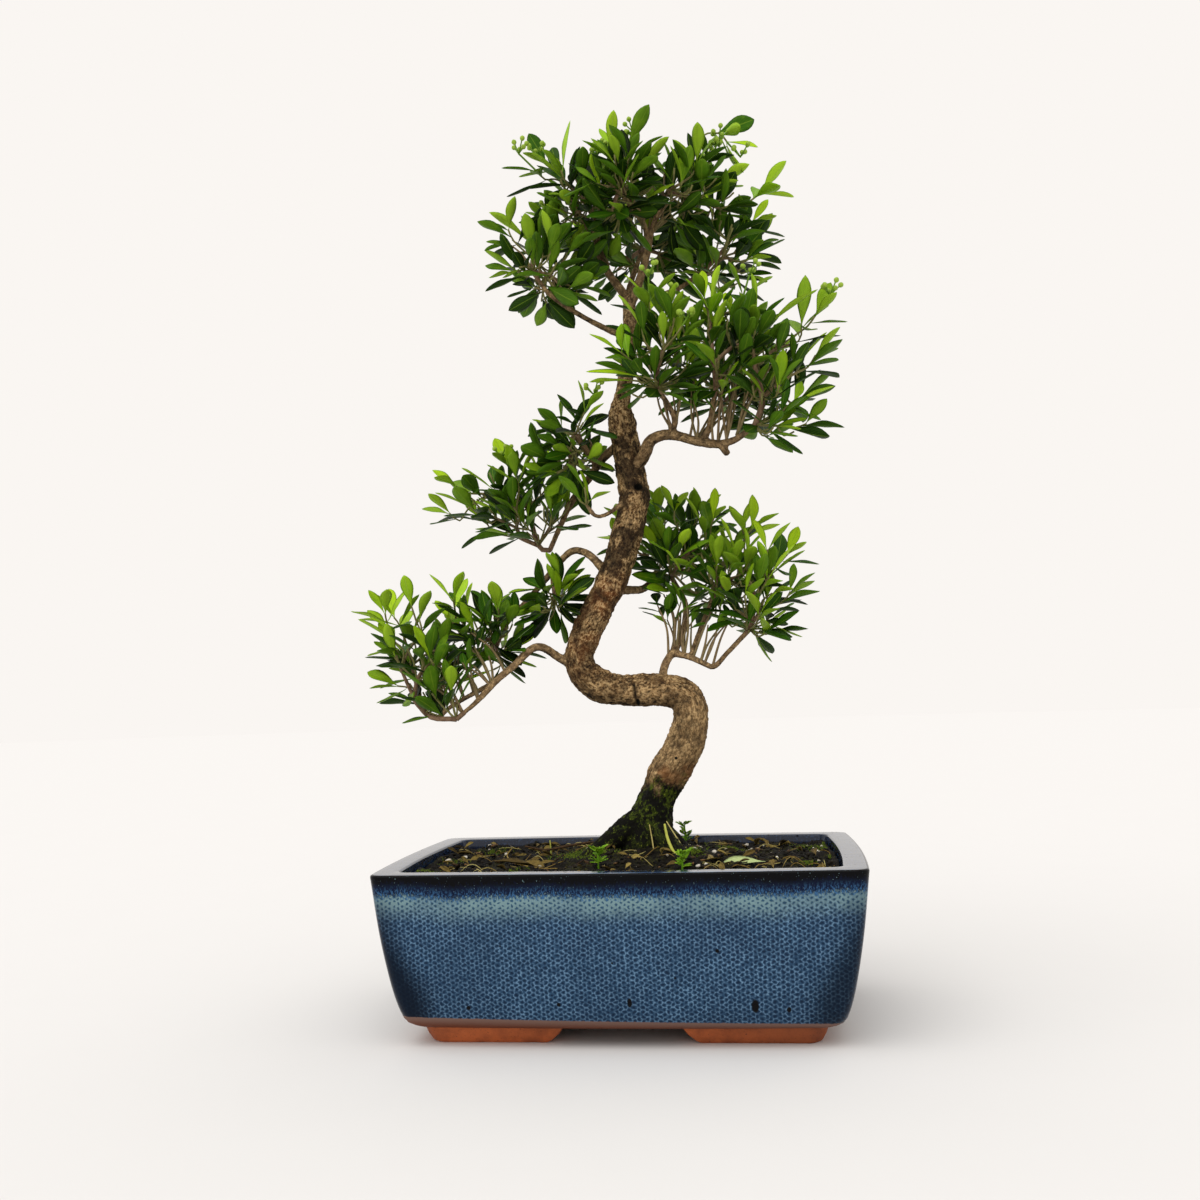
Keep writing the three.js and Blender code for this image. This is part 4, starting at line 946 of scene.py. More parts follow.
    def point_back(self, shoot: Shoot, distance: float) -> Array | None:
        """Finds a point on a shoot, measured back from its end along its twig.

        Args:
            shoot: The shoot.
            distance: How far back.

        Returns:
            The point, or None past the twig's start.
        """
        if shoot.fresh:
            return shoot.end - shoot.axis * distance
        points = [self.joints[joint].point for joint in self.stems[shoot.stem]]
        for index in range(len(points) - 1, 0, -1):
            back = points[index - 1] - points[index]
            span = float(np.linalg.norm(back))
            if distance < span:
                return points[index] + back * (distance / span)
            distance -= span
        return None

    def leaf_out(self, first: int = 0, pairs: int = LEAF.pairs, spacing: float = LEAF.pair_spacing,
                 opening: float = 0.6, rise: float = 0.12, reach: float = 99.0) -> None:
        """Sets pairs of leaves along the shoots, each pair turned a quarter from the last.

        Args:
            first: Number of the first shoot to take.
            pairs: Pairs on a shoot that isn't new.
            spacing: Distance between pairs.
            opening: Least angle between a leaf and its shoot.
            rise: How strongly leaves turn upwards.
            reach: How far past the spray's space a leaf may end.
        """
        random = self.random
        for shoot in self.shoots[first:]:
            chance = np.array((random.next() - 0.5, random.next() - 0.5, 0.1))
            across = chance if shoot.lead is None else shoot.lead
            across = unit(across - shoot.axis * (across @ shoot.axis))
            for pair in range(LEAF.new_pairs if shoot.fresh else pairs):
                foot = self.point_back(shoot, 0.8 + pair * spacing)
                for sign in (1, -1):
                    spread = opening + 0.28 * pair + 0.25 * random.next()
                    size = LEAF.length * (0.78 + 0.1 * pair + 0.25 * random.next())
                    if (pair == 0 and sign == 1 and shoot.lead is not None) or foot is None:
                        continue
                    way = shoot.axis * math.cos(spread) + across * (sign * math.sin(spread)) + UP * rise
                    upper = shoot.axis + UP + across * (0.2 * (random.next() - 0.5))
                    blade = Blade(foot, way, upper, size, shoot.owner, self.shade(pair, foot))
                    if (np.abs(blade.point(1.0, 0.0) - self.middle) - self.half).max() < reach:
                        self.around.try_blade(blade)
                across = unit(np.cross(across, shoot.axis))

    def shade(self, pair: int, foot: Array) -> float:
        """Chooses a leaf's shade: lighter at a shoot's end, and painted lighter high up and on the outside of
        the spray and darker deep inside it.

        Args:
            pair: Which pair it is in, counted from the shoot's end.
            foot: Where it stands.

        Returns:
            The shade, from dark at 0 to light at 1.
        """
        # Painted light and shade: leaves high in the spray and on its outside are lighter, those deep inside
        # darker.
        offset = (foot - self.middle) / self.half
        outside = min(float(np.linalg.norm(offset)), 1.3) - 0.7
        level = 0.57 if self.middle[2] < 300 else 0.47
        return float(np.clip(level - 0.15 * pair + 0.2 * offset[2] + 0.5 * outside, 0.0, 1.0))

    def thicken(self, random: RandomStream) -> None:
        """Adds the finer shoots that stand between those of the solid.

        Args:
            random: The stream for them.
        """
        self.random = random
        first = len(self.shoots)
        self.middle = self.middle + np.array(self.plan.drift)
        self.fill(first + self.plan.extra, TWIG.spacing * 0.5, 0.1, tries=320, rise=0.7)
        self.leaf_out(first, pairs=4, spacing=4.0, opening=0.38, rise=0.4, reach=14.0)
        self.leafy = len(self.shoots)
        self.fill(self.leafy + self.plan.extra // 2, TWIG.spacing * 0.4, 0.0, tries=120, rise=0.9)

    def radius_at(self, index: int) -> float:
        """Gives a twig's radius at a joint, which grows with the shoots beyond it."""
        growth = math.sqrt(max(self.joints[index].load, 1)) - 1
        return min(TWIG.shown_tip_radius + TWIG.shown_growth * growth, self.thickest)

    def add_twigs(self, builder: MeshBuilder, slot: int) -> None:
        """Counts the shoots beyond each joint and adds the spray's twigs to a builder.

        Args:
            builder: The builder that takes them.
            slot: Their material slot.
        """
        for shoot in self.shoots:
            index: int | None = self.stems[shoot.stem][-1]
            while index is not None:
                self.joints[index].load += 1
                index = self.joints[index].parent
        for number, stem in enumerate(self.stems):
            radii = [self.radius_at(joint) for joint in (stem[1], *stem[1:])]
            points = [self.joints[joint].point for joint in stem]
            if number == 0:
                radii[0] = self.thickest
                points[0] = points[0] - self.direction * 3
            rows = smooth_rows(np.column_stack([points, radii]), 4.0)
            age = np.clip((rows[:, 3] - TWIG.shown_tip_radius) / 0.5, 0, 1)
            add_tube(builder, rows, TWIG.sides, slot, 1 - age)


def bezier(knots: tuple[Array, ...], share: float) -> Array:
    """Finds a point on a curve from its two ends and two handles, at a share from 0 to 1."""
    rest = 1 - share
    return (knots[0] * rest ** 3 + knots[1] * (3 * rest * rest * share)
            + knots[2] * (3 * rest * share * share) + knots[3] * share ** 3)


class Number:
    """A number that a material works out at each point, ready for sums with plain signs."""

    def __init__(self, shader: "Shader", socket: Socket) -> None:
        """Keeps the shader and the socket that gives the number."""
        self.shader, self.socket = shader, socket

    def __add__(self, other: object) -> "Number":
        """Adds."""
        return self.shader.math("ADD", self, other)

    def __sub__(self, other: object) -> "Number":
        """Takes away."""
        return self.shader.math("SUBTRACT", self, other)

    def __mul__(self, other: object) -> "Number":
        """Multiplies."""
        return self.shader.math("MULTIPLY", self, other)


class Shader:
    """One node material, with short calls for the nodes that the finishes use."""

    def __init__(self, name: str) -> None:
        """Starts the material.

        Args:
            name: Its name.
        """
        self.material = bpy.data.materials.new(name)
        self.material.use_nodes = True
        self.tree = self.material.node_tree
        self.surface = self.tree.nodes["Principled BSDF"]
        self.place = self.node("TexCoord", {})["Object"]

    def node(self, kind: str, inputs: dict[int | str, object], **settings: object) -> Outputs:
        """Makes a node and feeds it.

        Args:
            kind: Its type name, less "ShaderNode".
            inputs: What goes into each input.
            **settings: Properties to set on it.

        Returns:
            Its outputs.
        """
        made = self.tree.nodes.new(f"ShaderNode{kind}")
        for key, value in settings.items():
            setattr(made, key, value)
        for key, value in inputs.items():
            self.feed(made.inputs[key], value)
        return made.outputs

    def number(self, kind: str, inputs: dict, output: int | str = 0, **settings: object) -> Number:
        """Makes a node that gives a number at the named output."""
        return Number(self, self.node(kind, inputs, **settings)[output])

    def feed(self, socket: Socket, value: object) -> None:
        """Links a socket to another, sets its own value, or leaves it for None.

        Args:
            socket: The input.
            value: A number, a socket, a colour from 0 to 255, a plain value or None.
        """
        value = getattr(value, "socket", value)
        if isinstance(value, Socket):
            self.tree.links.new(value, socket)
        elif value is not None:
            socket.default_value = paint(*value) if socket.type == "RGBA" else value

    def set(self, **values: object) -> None:
        """Sets inputs of the surface, written with underscores for spaces."""
        for key, value in values.items():
            self.feed(self.surface.inputs[key.replace("_", " ").title().replace("Ior", "IOR")], value)

    def math(self, operation: str, first: object, second: object = 0.0) -> Number:
        """Works out a number."""
        return self.number("Math", {0: first, 1: second}, operation=operation)

    def vector(self, operation: str, *values: object) -> Socket:
        """Works out a vector."""
        return self.node("VectorMath", dict(enumerate(values)), operation=operation)[0]

    def spread(self, value: Number, low: float, high: float, start: float = 0.0, end: float = 1.0) -> Number:
        """Maps a number smoothly from the range low to high to the range start to end."""
        numbers = dict(enumerate((value, low, high, start, end)))
        return self.number("MapRange", numbers, interpolation_type="SMOOTHSTEP")

    def mix(self, share: object, first: object, second: object) -> Socket:
        """Mixes two colours by the share of the second."""
        return self.node("Mix", {0: share, 6: first, 7: second}, data_type="RGBA")[2]

    def ramp(self, value: Number, *stops: tuple[float, Colour]) -> Socket:
        """Turns a number into a colour.

        Args:
            value: The number.
            *stops: Places from 0 to 1 and their colours.

        Returns:
            The colour.
        """
        made = self.tree.nodes.new("ShaderNodeValToRGB")
        elements = made.color_ramp.elements
        while len(elements) < len(stops):
            elements.new(0.5)
        for element, (position, colour) in zip(elements, stops):
            element.position, element.color = position, paint(*colour)
        self.feed(made.inputs[0], value)
        return made.outputs[0]

    def axis(self, name: str) -> Number:
        """Gives one coordinate in millimetres."""
        return self.number("SeparateXYZ", {0: self.place}, name) * (1 / MM)

    def stretched(self, x: float, y: float, z: float) -> Socket:
        """Gives the place with each coordinate scaled by its own number."""
        return self.vector("MULTIPLY", self.place, (x, y, z))

    def noise(self, size: float, detail: float = 3.0, rough: float = 0.55,
              where: Socket | None = None) -> Number:
        """Draws cloudy noise.

        Args:
            size: Size of its forms in millimetres.
            detail: Number of finer layers.
            rough: Share of each finer layer.
            where: Place to use, if not the object's own.

        Returns:
            A number round 0.5.
        """
        return self.number("TexNoise", {"Vector": where or self.place, "Scale": 1 / (size * MM),
                                        "Detail": detail, "Roughness": rough})

    def spots(self, x: Number, z: Number, places: Rows) -> Number:
        """Draws oval spots on the front.

        Args:
            x: Coordinate in millimetres.
            z: Coordinate in millimetres.
            places: Rows of x, z and the two radii.

        Returns:
            1 in a spot and 0 elsewhere.
        """
        total: object = 0.0
        for place_x, place_z, wide, high in places:
            across = self.math("POWER", self.math("DIVIDE", x - (place_x + SHIFT[0]), wide), 2.0)
            above = self.math("POWER", self.math("DIVIDE", z - place_z, high), 2.0)
            total = self.math("MAXIMUM", total, self.spread(across + above, 1.4, 0.7))
        return total

    def bump(self, height: Number, depth: float, strength: float = 1.0,
             below: Socket | None = None) -> Socket:
        """Turns a height into a bump.

        Args:
            height: The height from 0 to 1.
            depth: What a height of 1 measures, in millimetres.
            strength: How much of it shows.
            below: A bump that it adds to.

        Returns:
            The bumped normal.
        """
        return self.node("Bump", {"Strength": strength, "Distance": depth * MM, "Height": height,
                                  "Normal": below})[0]

    def attribute(self, name: str) -> Number:
        """Reads a number that is stored on the mesh."""
        return self.number("Attribute", {}, "Fac", attribute_name=name)


@dataclass(frozen=True)
class Finish:
    """A material with a name and a way to wire it."""

    name: str

    def build(self) -> Material:
        """Makes the material.

        Returns:
            The material.
        """
        shader = Shader(self.name)
        self.wire(shader)
        return shader.material

    def wire(self, s: Shader) -> None:
        """Wires the surface; each kind of finish has its own way.

        Args:
            s: The shader to wire.
        """
        raise NotImplementedError


@dataclass(frozen=True)
class GlazeFinish(Finish):
    """The pot's blue glaze: black at the rim, breaking to pale blue-green and then to netted mid blue, with
    painted shade at the lower corners and painted glints on the dark band.
    """

    name: str = "glaze"
    rim: Colour = (7, 7, 9)
    navy: Colour = (12, 22, 48)
    streak: Colour = (58, 100, 142)
    pale: Colour = (116, 144, 149)
    pale_cell: Colour = (50, 82, 106)
    speck: Colour = (104, 138, 168)
    net: Colour = (40, 68, 96)
    cell: Colour = (18, 37, 60)
    # Colour of the painted shade at the lower corners and ends.
    shade: Colour = (2, 16, 33)
    haze: Colour = (118, 92, 82)
    under: Colour = (104, 56, 36)
    pitch: float = 2.6
    stray: float = 0.55
    pinholes: Rows = ((-79, 22, 1.0, 1.1), (-31, 24, 0.9, 1.0), (6, 25, 1.1, 2.3), (52, 52, 0.9, 0.9),
                      (70, 23, 1.7, 3.4), (87, 21, 1.0, 1.3), (-2, 46, 0.5, 0.5), (-60, 55, 0.4, 0.4),
                      (30, 38, 0.5, 0.5))

    def wire(self, s: Shader) -> None:
        """Wires the surface."""
        x, y, z = s.axis("X"), s.axis("Y"), s.axis("Z")
        middle = x - SHIFT[0]
        soft = s.noise(1.2, 3, 0.6) - 0.5
        away = self.cells(s, self.run_along(s, x, y), z) + soft * 0.22
        thread = s.spread(away, 0.36, 0.52) * s.spread(s.noise(2.2, 3, 0.6), 0.3, 0.62)
        level = z + (s.noise(30, 3, 0.5, s.stretched(1, 1, 0.1)) - 0.5) * 7.0
        blue = s.mix(thread, s.mix(s.spread(away, 0.36, 0.1), self.net, self.cell), self.speck)
        blue = s.mix(s.spread(s.noise(24, 3, 0.5), 0.35, 0.7) * 0.3, blue, self.cell)
        pale = s.mix(s.spread(away, 0.34, 0.16), self.pale, self.pale_cell)
        faded = s.spread(level + soft * 14.0, 65, 79) * s.spread(s.noise(26, 2, 0.5), 0.38, 0.62, 0.6, 1.0)
        body = s.mix(faded, blue, pale)
        # Painted shade: the glaze darkens towards the lower corners and the ends, a little more on the left,
        # where the rounded corners turn from the light.
        reach = s.math("ABSOLUTE", middle) - z * 0.14 + s.spread(z, 66, 22) * 14.0 + soft * 16.0
        painted_corner_shade = s.spread(reach, 100, 120) * s.spread(z, 84, 60, 0.3, 1.0)
        body = s.mix(painted_corner_shade * s.spread(middle, 60, -60, 0.85, 0.97), body, self.shade)
        grain = s.noise(0.8, 3, 0.65, s.stretched(1.0, 1.0, 0.45)) - 0.5
        ragged = level + grain * 13.0
        upper = s.mix(s.spread(grain, -0.03, 0.12) * s.spread(level, 93, 80), self.navy, self.streak)
        upper = s.mix(s.spread(ragged, 82.5, 89), upper, self.rim)
        body = s.mix(s.spread(ragged, 78.6, 81.4), body, upper)
        # Painted highlights: small pale specks on the dark band above about 80 mm stand in for glints.
        painted_glints = s.spread(s.noise(0.8, 1, 0.5), 0.72, 0.76) * s.spread(z, 78, 84)
        body = s.mix(painted_glints * 0.6, body, self.pale)
        pits = s.spots(x, z, self.pinholes) * s.spread(y, -40, -60)
        body = s.mix(pits, body, self.rim)
        bottom = z + middle * 0.016 - soft * 1.2
        glazed = s.spread(bottom, 14.4, 15.0)
        hazed = s.mix(s.spread(bottom, 9.0, 14.6), self.under, self.haze)
        rough = s.bump(away, 0.06, 0.2, s.bump(s.noise(8.0, 2), 0.3, 0.3))
        s.set(base_color=s.mix(glazed, hazed, body), roughness=s.math("SUBTRACT", 0.55, glazed * 0.4),
              specular_ior_level=s.spread(level, 74, 84, 0.1, 0.07),
              normal=s.bump(s.math("SUBTRACT", 1.0, pits), 0.8, 0.9, rough))

    @staticmethod
    def run_along(s: Shader, x: Number, y: Number) -> Number:
        """Measures along the side that a point lies on.

        Args:
            s: The shader.
            x: Coordinate in millimetres.
            y: Coordinate in millimetres.

        Returns:
            X on the long sides and Y, moved away, on the short ones.
        """
        ways = s.node("SeparateXYZ", {0: s.node("NewGeometry", {})["Normal"]})
        end = s.math("GREATER_THAN", s.math("ABSOLUTE", ways["X"]), s.math("ABSOLUTE", ways["Y"]))
        return x + end * (y - x + 400.0)

    def cells(self, s: Shader, run: Number, z: Number) -> Number:
        """Draws the glaze's honeycomb of cells, seen straight on and pulled about a little.

        Args:
            s: The shader.
            run: Distance along the side.
            z: Height.

        Returns:
            The distance from the middle of a cell: 0.5 halfway to the next and 0.58 at a corner.
        """
        both = s.node("CombineXYZ", {0: run * (1 / (self.pitch * math.sqrt(3))), 1: z * (1 / self.pitch)})[0]
        stray = s.node("TexNoise", {"Vector": both, "Scale": 1.3}, noise_dimensions="2D")["Color"]
        moved = s.vector("MULTIPLY_ADD", stray, (self.stray, self.stray, 0.0), both)
        nearest: object = 9.0
        for start in (0.0, 0.5):
            place = s.vector("FRACTION", s.vector("ADD", moved, (start, start, 0)))
            place = s.vector("MULTIPLY", s.vector("SUBTRACT", place, (0.5, 0.5, 0)), (math.sqrt(3), 1, 0))
            length = s.number("VectorMath", {0: place}, "Value", operation="LENGTH")
            nearest = s.math("MINIMUM", nearest, length)
        return nearest


@dataclass(frozen=True)
class RimGlazeFinish(Finish):
    """The same glaze on the rim's top, glossy and pitted, with a painted reflection of the pale surroundings
    on its front, and inside, navy with blue flecks.
    """

    name: str = "glaze_inside"
    dark: Colour = (22, 34, 56)
    blue: Colour = (50, 76, 114)
    # The pale colour of the painted reflection on the front of the rim's top.
    edge: Colour = (108, 136, 160)
    pit: Colour = (10, 10, 12)
    wall: Colour = (13, 23, 46)
    fleck: Colour = (56, 96, 142)
    pit_spacing: float = 7.0

    def wire(self, s: Shader) -> None:
        """Wires the surface."""
        z = s.axis("Z")
        speck = s.spread(s.noise(1.4, 4, 0.7), 0.52, 0.72)
        away = s.number("TexVoronoi", {"Vector": s.place, "Scale": 1 / (self.pit_spacing * MM)}, "Distance")
        pits = s.spread(away, 0.12, 0.07)
        flecks = s.spread(s.noise(1.1, 3, 0.7, s.stretched(1, 1, 0.45)), 0.54, 0.66)
        top = s.spread(z, 86.5, 88.5)
        # Painted reflection: the front of the rim's top is painted pale lilac-blue, the look of the pale
        # surroundings mirrored in it, and its gloss is lowered there.
        front = s.spread(s.axis("Y"), -86.5, -88.5) * s.spread(z, 88, 90)
        painted_rim_reflection = s.mix(s.spread(s.noise(7, 4, 0.7, s.stretched(0.4, 1, 1)), 0.4, 0.6), self.edge, self.blue)
        upper = s.mix(front, s.mix(speck, self.dark, self.blue), painted_rim_reflection)
        colour = s.mix(top, s.mix(flecks, self.wall, self.fleck), upper)
        gloss = top * s.spread(front, 0, 1, 1.0, 0.4) * s.spread(pits, 0, 1, 1.0, 0.1)
        s.set(base_color=s.mix(pits, colour, self.pit), roughness=0.14, coat_roughness=0.06,
              specular_ior_level=s.spread(gloss, 0, 1, 0.1, 0.36),
              coat_weight=s.spread(gloss, 0.4, 1, 0.0, 0.12),
              normal=s.bump(s.noise(9.0, 2), 0.3, 0.3, s.bump(pits, -0.5, 0.8)))


@dataclass(frozen=True)
class ClayFinish(Finish):
    """Fired red-brown clay, bare under the pot and on its feet, with painted shade towards the underside and
    on the right.
    """

    name: str = "clay"
    red: Colour = (188, 100, 54)
    brown: Colour = (146, 76, 42)
    dark: Colour = (70, 40, 28)

    def wire(self, s: Shader) -> None:
        """Wires the surface."""
        patch = s.mix(s.spread(s.noise(11, 4, 0.6), 0.35, 0.7), self.red, self.brown)
        fired = s.mix(s.spread(s.noise(0.9, 2, 0.6), 0.62, 0.78), patch, self.dark)
        # Painted shade: the clay turns dark from just below the pot's bottom upwards, over the underside and
        # the feet's tops, and darker towards the right, away from the sun.
        under = s.spread(s.axis("Z"), POT.foot_height - 1.2, POT.foot_height - 0.2, 0.0, 0.85)
        painted_under_and_right_shade = s.math("MAXIMUM", under, s.spread(s.axis("X"), 40, 110, 0.0, 0.45))
        s.set(base_color=s.mix(painted_under_and_right_shade, fired, self.dark), roughness=0.7, specular_ior_level=0.3,
              normal=s.bump(s.noise(1.1, 4, 0.6), 0.25, 0.5))


@dataclass(frozen=True)
class BarkFinish(Finish):
    """Rough flaking bark: pale flakes, dark cracks, rusty patches and moss at the foot, with painted shade in
    creases, undersides and holes, partly painted shade up the trunk and painted light low down.
    """

    name: str = "bark"
    flake: Colour = (200, 168, 120)
    brown: Colour = (120, 87, 51)
    crack: Colour = (22, 16, 11)
    rust: Colour = (140, 80, 36)
    grey: Colour = (112, 94, 74)
    umber: Colour = (66, 47, 29)
    # Near-black of the damp foot, also painted into the holes as shade.
    damp_and_hole_shade: Colour = (14, 13, 8)
    moss: Colour = (62, 76, 16)
    shoot: Colour = (128, 136, 44)
    holes: Rows = ((12.6, 304.9, 2.3, 1.6), (8.4, 178.6, 1.1, 2.0), (29.5, 146, 0.9, 0.8))

    def wire(self, s: Shader) -> None:
        """Wires the surface, with each patch laid over those before it."""
        z, girth = s.axis("Z"), s.attribute("girth")
        grain = s.node("Attribute", {}, attribute_name="grain")["Vector"]
        along = s.vector("MULTIPLY", grain, (1.0, 1.0, 0.7))
        height = s.noise(2.3, 5, 0.66, along) * 0.55 + s.noise(0.7, 3, 0.7, along) * 0.45
        blotch, chipped, side = s.noise(6, 4, 0.65), s.noise(1.2, 4, 0.7, along), s.noise(13, 3, 0.6)
        band = s.spread(z, 192, 206) * s.spread(z, 262, 236)
        foot = s.spread(z, 128, 133) * s.spread(z, 145, 139)
        rusty = s.math("MAXIMUM", band, foot) * s.spread(s.noise(20, 3, 0.5), 0.4, 0.6)
        # Partly painted shade: dark patches from the side noise grow stronger up the stout trunk, partly the
        # bark's own patchy colour and partly shade under the crown and on the trunk's dim side; pale flakes
        # gather where those patches are light.
        bark_patch_and_shade = s.spread(z, 150, 290, 0.3, 1.0) * s.spread(girth, 0.35, 0.65)
        ringed = s.spread(s.noise(4.5, 3, 0.6), 0.48, 0.62) * s.spread(girth, 0.6, 0.3)
        colour = s.ramp(height, (0.39, self.crack), (0.46, self.brown), (0.59, self.flake))
        for share, over in (
                (s.spread(blotch, 0.52, 0.38, 0.0, 0.75), self.umber),
                (s.spread(blotch, 0.56, 0.7, 0.0, 0.5), self.flake),
                (s.spread(s.noise(9, 3, 0.6), 0.35, 0.65, 0.0, 0.38), self.brown),
                (s.spread(chipped, 0.47, 0.37, 0.0, 0.9), self.crack),
                (s.spread(chipped, 0.56, 0.66, 0.0, 0.75), self.flake),
                # Painted light: the trunk is lightened with flake colour below about 195 mm, most below 165
                # mm.
                (s.spread(z, 195, 165, 0.0, 0.22), self.flake),
                (s.spread(girth, 0.6, 0.3, 0.0, 0.45), self.grey),
                (rusty * s.spread(girth, 0.45, 0.8) * 0.5, self.rust),
                # Partly painted shade: the dark patches up the stout trunk, and pale flakes where they are
                # light.
                (s.spread(side, 0.43, 0.57, 0.1, 0.8) * bark_patch_and_shade, self.crack),
                (s.spread(chipped, 0.5, 0.6) * s.spread(side, 0.55, 0.45) * 0.8, self.flake),
                (ringed * 0.6, self.umber),
                (s.spread(girth, 0.5, 0.3, 0.0, 0.15), self.flake),
                # Painted shade that the wood stores in its hole, crack, seam, creases and undersides.
                (s.attribute("tone"), self.crack)):
            colour = s.mix(share, colour, over)
        damp_and_hole_shade = s.spread(z + (s.noise(9, 5, 0.65) - 0.5) * 44.0, 138, 126)
        tufts = s.noise(1.8, 5, 0.7, along) + s.spread(s.noise(12, 2), 0.35, 0.65, -0.1, 0.06)
        green = s.mix(s.spread(tufts, 0.46, 0.6) * s.spread(z, 92, 128, 0.2, 1.0), self.damp_and_hole_shade, self.moss)
        tips = s.spread(s.noise(0.8, 3, 0.7, along), 0.54, 0.68)
        green = s.mix(tips * s.spread(tufts, 0.48, 0.6), green, self.shoot)
        # Painted shade: the knot hole and two small holes, one at the crack's foot, are painted near-black on
        # the front.
        holes = s.spots(s.axis("X"), z, self.holes) * s.spread(s.axis("Y"), 0, -4)
        s.set(base_color=s.mix(holes, s.mix(damp_and_hole_shade, colour, green), self.damp_and_hole_shade), roughness=0.8,
              specular_ior_level=0.12, normal=s.bump(height, 1.3, 1.0))


@dataclass(frozen=True)
class TwigFinish(Finish):
    """Young wood: brown where it is older and green towards the leaves."""

    name: str = "twig"
    old: Colour = (138, 112, 86)
    red: Colour = (104, 80, 60)
    green: Colour = (112, 126, 56)

    def wire(self, s: Shader) -> None:
        """Wires the surface."""
        mottle = s.spread(s.noise(2.0, 4, 0.6, s.stretched(1.0, 1.0, 0.5)), 0.35, 0.65)
        wood = s.mix(mottle, self.old, self.red)
        s.set(base_color=s.mix(s.attribute("tone") * 0.55, wood, self.green), roughness=0.6,
              specular_ior_level=0.2, normal=s.bump(mottle, 0.15, 0.4))


@dataclass(frozen=True)
class LeafFinish(Finish):
    """A glossy leaf: pale midrib, faint side veins, and a shade that each leaf carries, partly painted light
    and shade.
    """

    name: str
    dark: Colour
    middle: Colour
    light: Colour
    rib: Colour
    roughness: float = 0.45
    gloss: float = 0.07
    blotch: float = 0.0

    def wire(self, s: Shader) -> None:
        """Wires the surface."""
        where = {0: s.node("TexCoord", {})["UV"]}
        across = s.math("ABSOLUTE", s.number("SeparateXYZ", where, "X") - 0.5)
        shade = s.attribute("tone") + (s.noise(7.0, 3) - 0.5) * 0.35
        colour = s.ramp(shade, (0.05, self.dark), (0.45, self.middle), (0.95, self.light))
        if self.blotch:
            colour = s.mix(s.spread(s.noise(2.5, 4, 0.7), 0.45, 0.7, 0.0, self.blotch), colour, self.dark)
        slant = s.number("SeparateXYZ", where, "Y") * 62.0 - across * 46.0
        vein, rib = s.spread(s.math("SINE", slant), 0.6, 1.0), s.spread(across, 0.045, 0.015)
        colour = s.mix(vein * 0.1, colour, self.rib)
        s.set(base_color=s.mix(rib * 0.45, colour, self.rib), roughness=self.roughness,
              specular_ior_level=self.gloss, normal=s.bump(vein * 0.4 - rib, 0.12, 0.5))


@dataclass(frozen=True)
class SoilFinish(Finish):
    """Dark damp humus with brown fibre and a green film."""

    name: str = "soil"
    dark: Colour = (12, 10, 7)
    brown: Colour = (25, 20, 12)
    film: Colour = (66, 66, 20)

    def wire(self, s: Shader) -> None:
        """Wires the surface."""
        grain = s.noise(1.6, 6, 0.72)
        colour = s.ramp(grain, (0.4, self.dark), (0.66, self.brown))
        film = s.spread(s.noise(14, 3), 0.44, 0.6) * s.spread(grain, 0.48, 0.62)
        s.set(base_color=s.mix(film, colour, self.film), roughness=0.85, specular_ior_level=0.15,
              normal=s.bump(grain, 1.4, 1.0))


@dataclass(frozen=True)
class GrainFinish(Finish):
    """Small loose matter whose shade each piece carries."""

    name: str
    first: Colour
    second: Colour
    size: float = 1.5
    roughness: float = 0.8

    def wire(self, s: Shader) -> None:
        """Wires the surface."""
        mottle = s.attribute("tone") + (s.noise(self.size, 4, 0.65) - 0.5)
        s.set(base_color=s.mix(s.spread(mottle, 0.1, 0.9), self.first, self.second),
              roughness=self.roughness, specular_ior_level=0.2, normal=s.bump(mottle, 0.2, 0.6))


class Finishes(dict[str, Material]):
    """Every material by its name, made once."""

    def __init__(self) -> None:
        """Makes the materials."""
        rib = (128, 158, 44)
        for finish in (
            GlazeFinish(), RimGlazeFinish(), ClayFinish(), BarkFinish(), TwigFinish(),
            LeafFinish("leaf", (8, 27, 2), (50, 94, 8), (164, 200, 28), rib),
            LeafFinish("leaf_back", (30, 58, 8), (76, 116, 20), (144, 180, 40), rib, 0.5, 0.08),
            LeafFinish("new_leaf", (92, 142, 14), (130, 178, 24), (166, 204, 44),
                       (168, 190, 90)),
            LeafFinish("dead_leaf", (34, 28, 14), (98, 80, 36), (160, 140, 74),
                       (160, 134, 76), 0.75, 0.15, 0.8),
            LeafFinish("pale_leaf", (120, 142, 76), (150, 174, 100), (180, 196, 134),
                       (196, 204, 150), 0.6),
            LeafFinish("weed", (58, 100, 12), (104, 152, 24), (156, 192, 50),
                       (150, 190, 80), 0.5),
            GrainFinish("bud", (96, 132, 30), (152, 180, 62), 2.0, 0.5), SoilFinish(),
            GrainFinish("humus", (7, 6, 4), (31, 25, 15)),
            GrainFinish("bark_chip", (44, 30, 18), (116, 86, 50)),
            GrainFinish("pebble", (140, 132, 112), (216, 210, 196)),
            GrainFinish("straw", (128, 102, 46), (192, 180, 112)),
            GrainFinish("yellow_stem", (150, 160, 50), (196, 196, 96)),
            GrainFinish("moss", (26, 38, 8), (110, 130, 28)),
            GrainFinish("screen_plastic", (16, 16, 16), (44, 44, 42), 3.0, 0.5),
        ):
            self[finish.name] = finish.build()

    def take(self, *names: str) -> list[Material]:
        """Gives the materials that have these names, in their order."""
        return [self[name] for name in names]


def stand_for(piece: Piece, node: str) -> None:
    """Hides the solid whose place a piece takes."""
    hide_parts(node)


def bake(piece: Piece) -> None:
    """Turns a piece's modifiers into plain mesh.

    Args:
        piece: The piece.
    """
    graph = bpy.context.evaluated_depsgraph_get()
    old = piece.data
    piece.data = bpy.data.meshes.new_from_object(piece.evaluated_get(graph), depsgraph=graph)
    piece.modifiers.clear()
    bpy.data.meshes.remove(old)


class PotSlot(IntEnum):
    """Material slots of the pot."""

    GLAZE = 0
    INSIDE = 1
    CLAY = 2


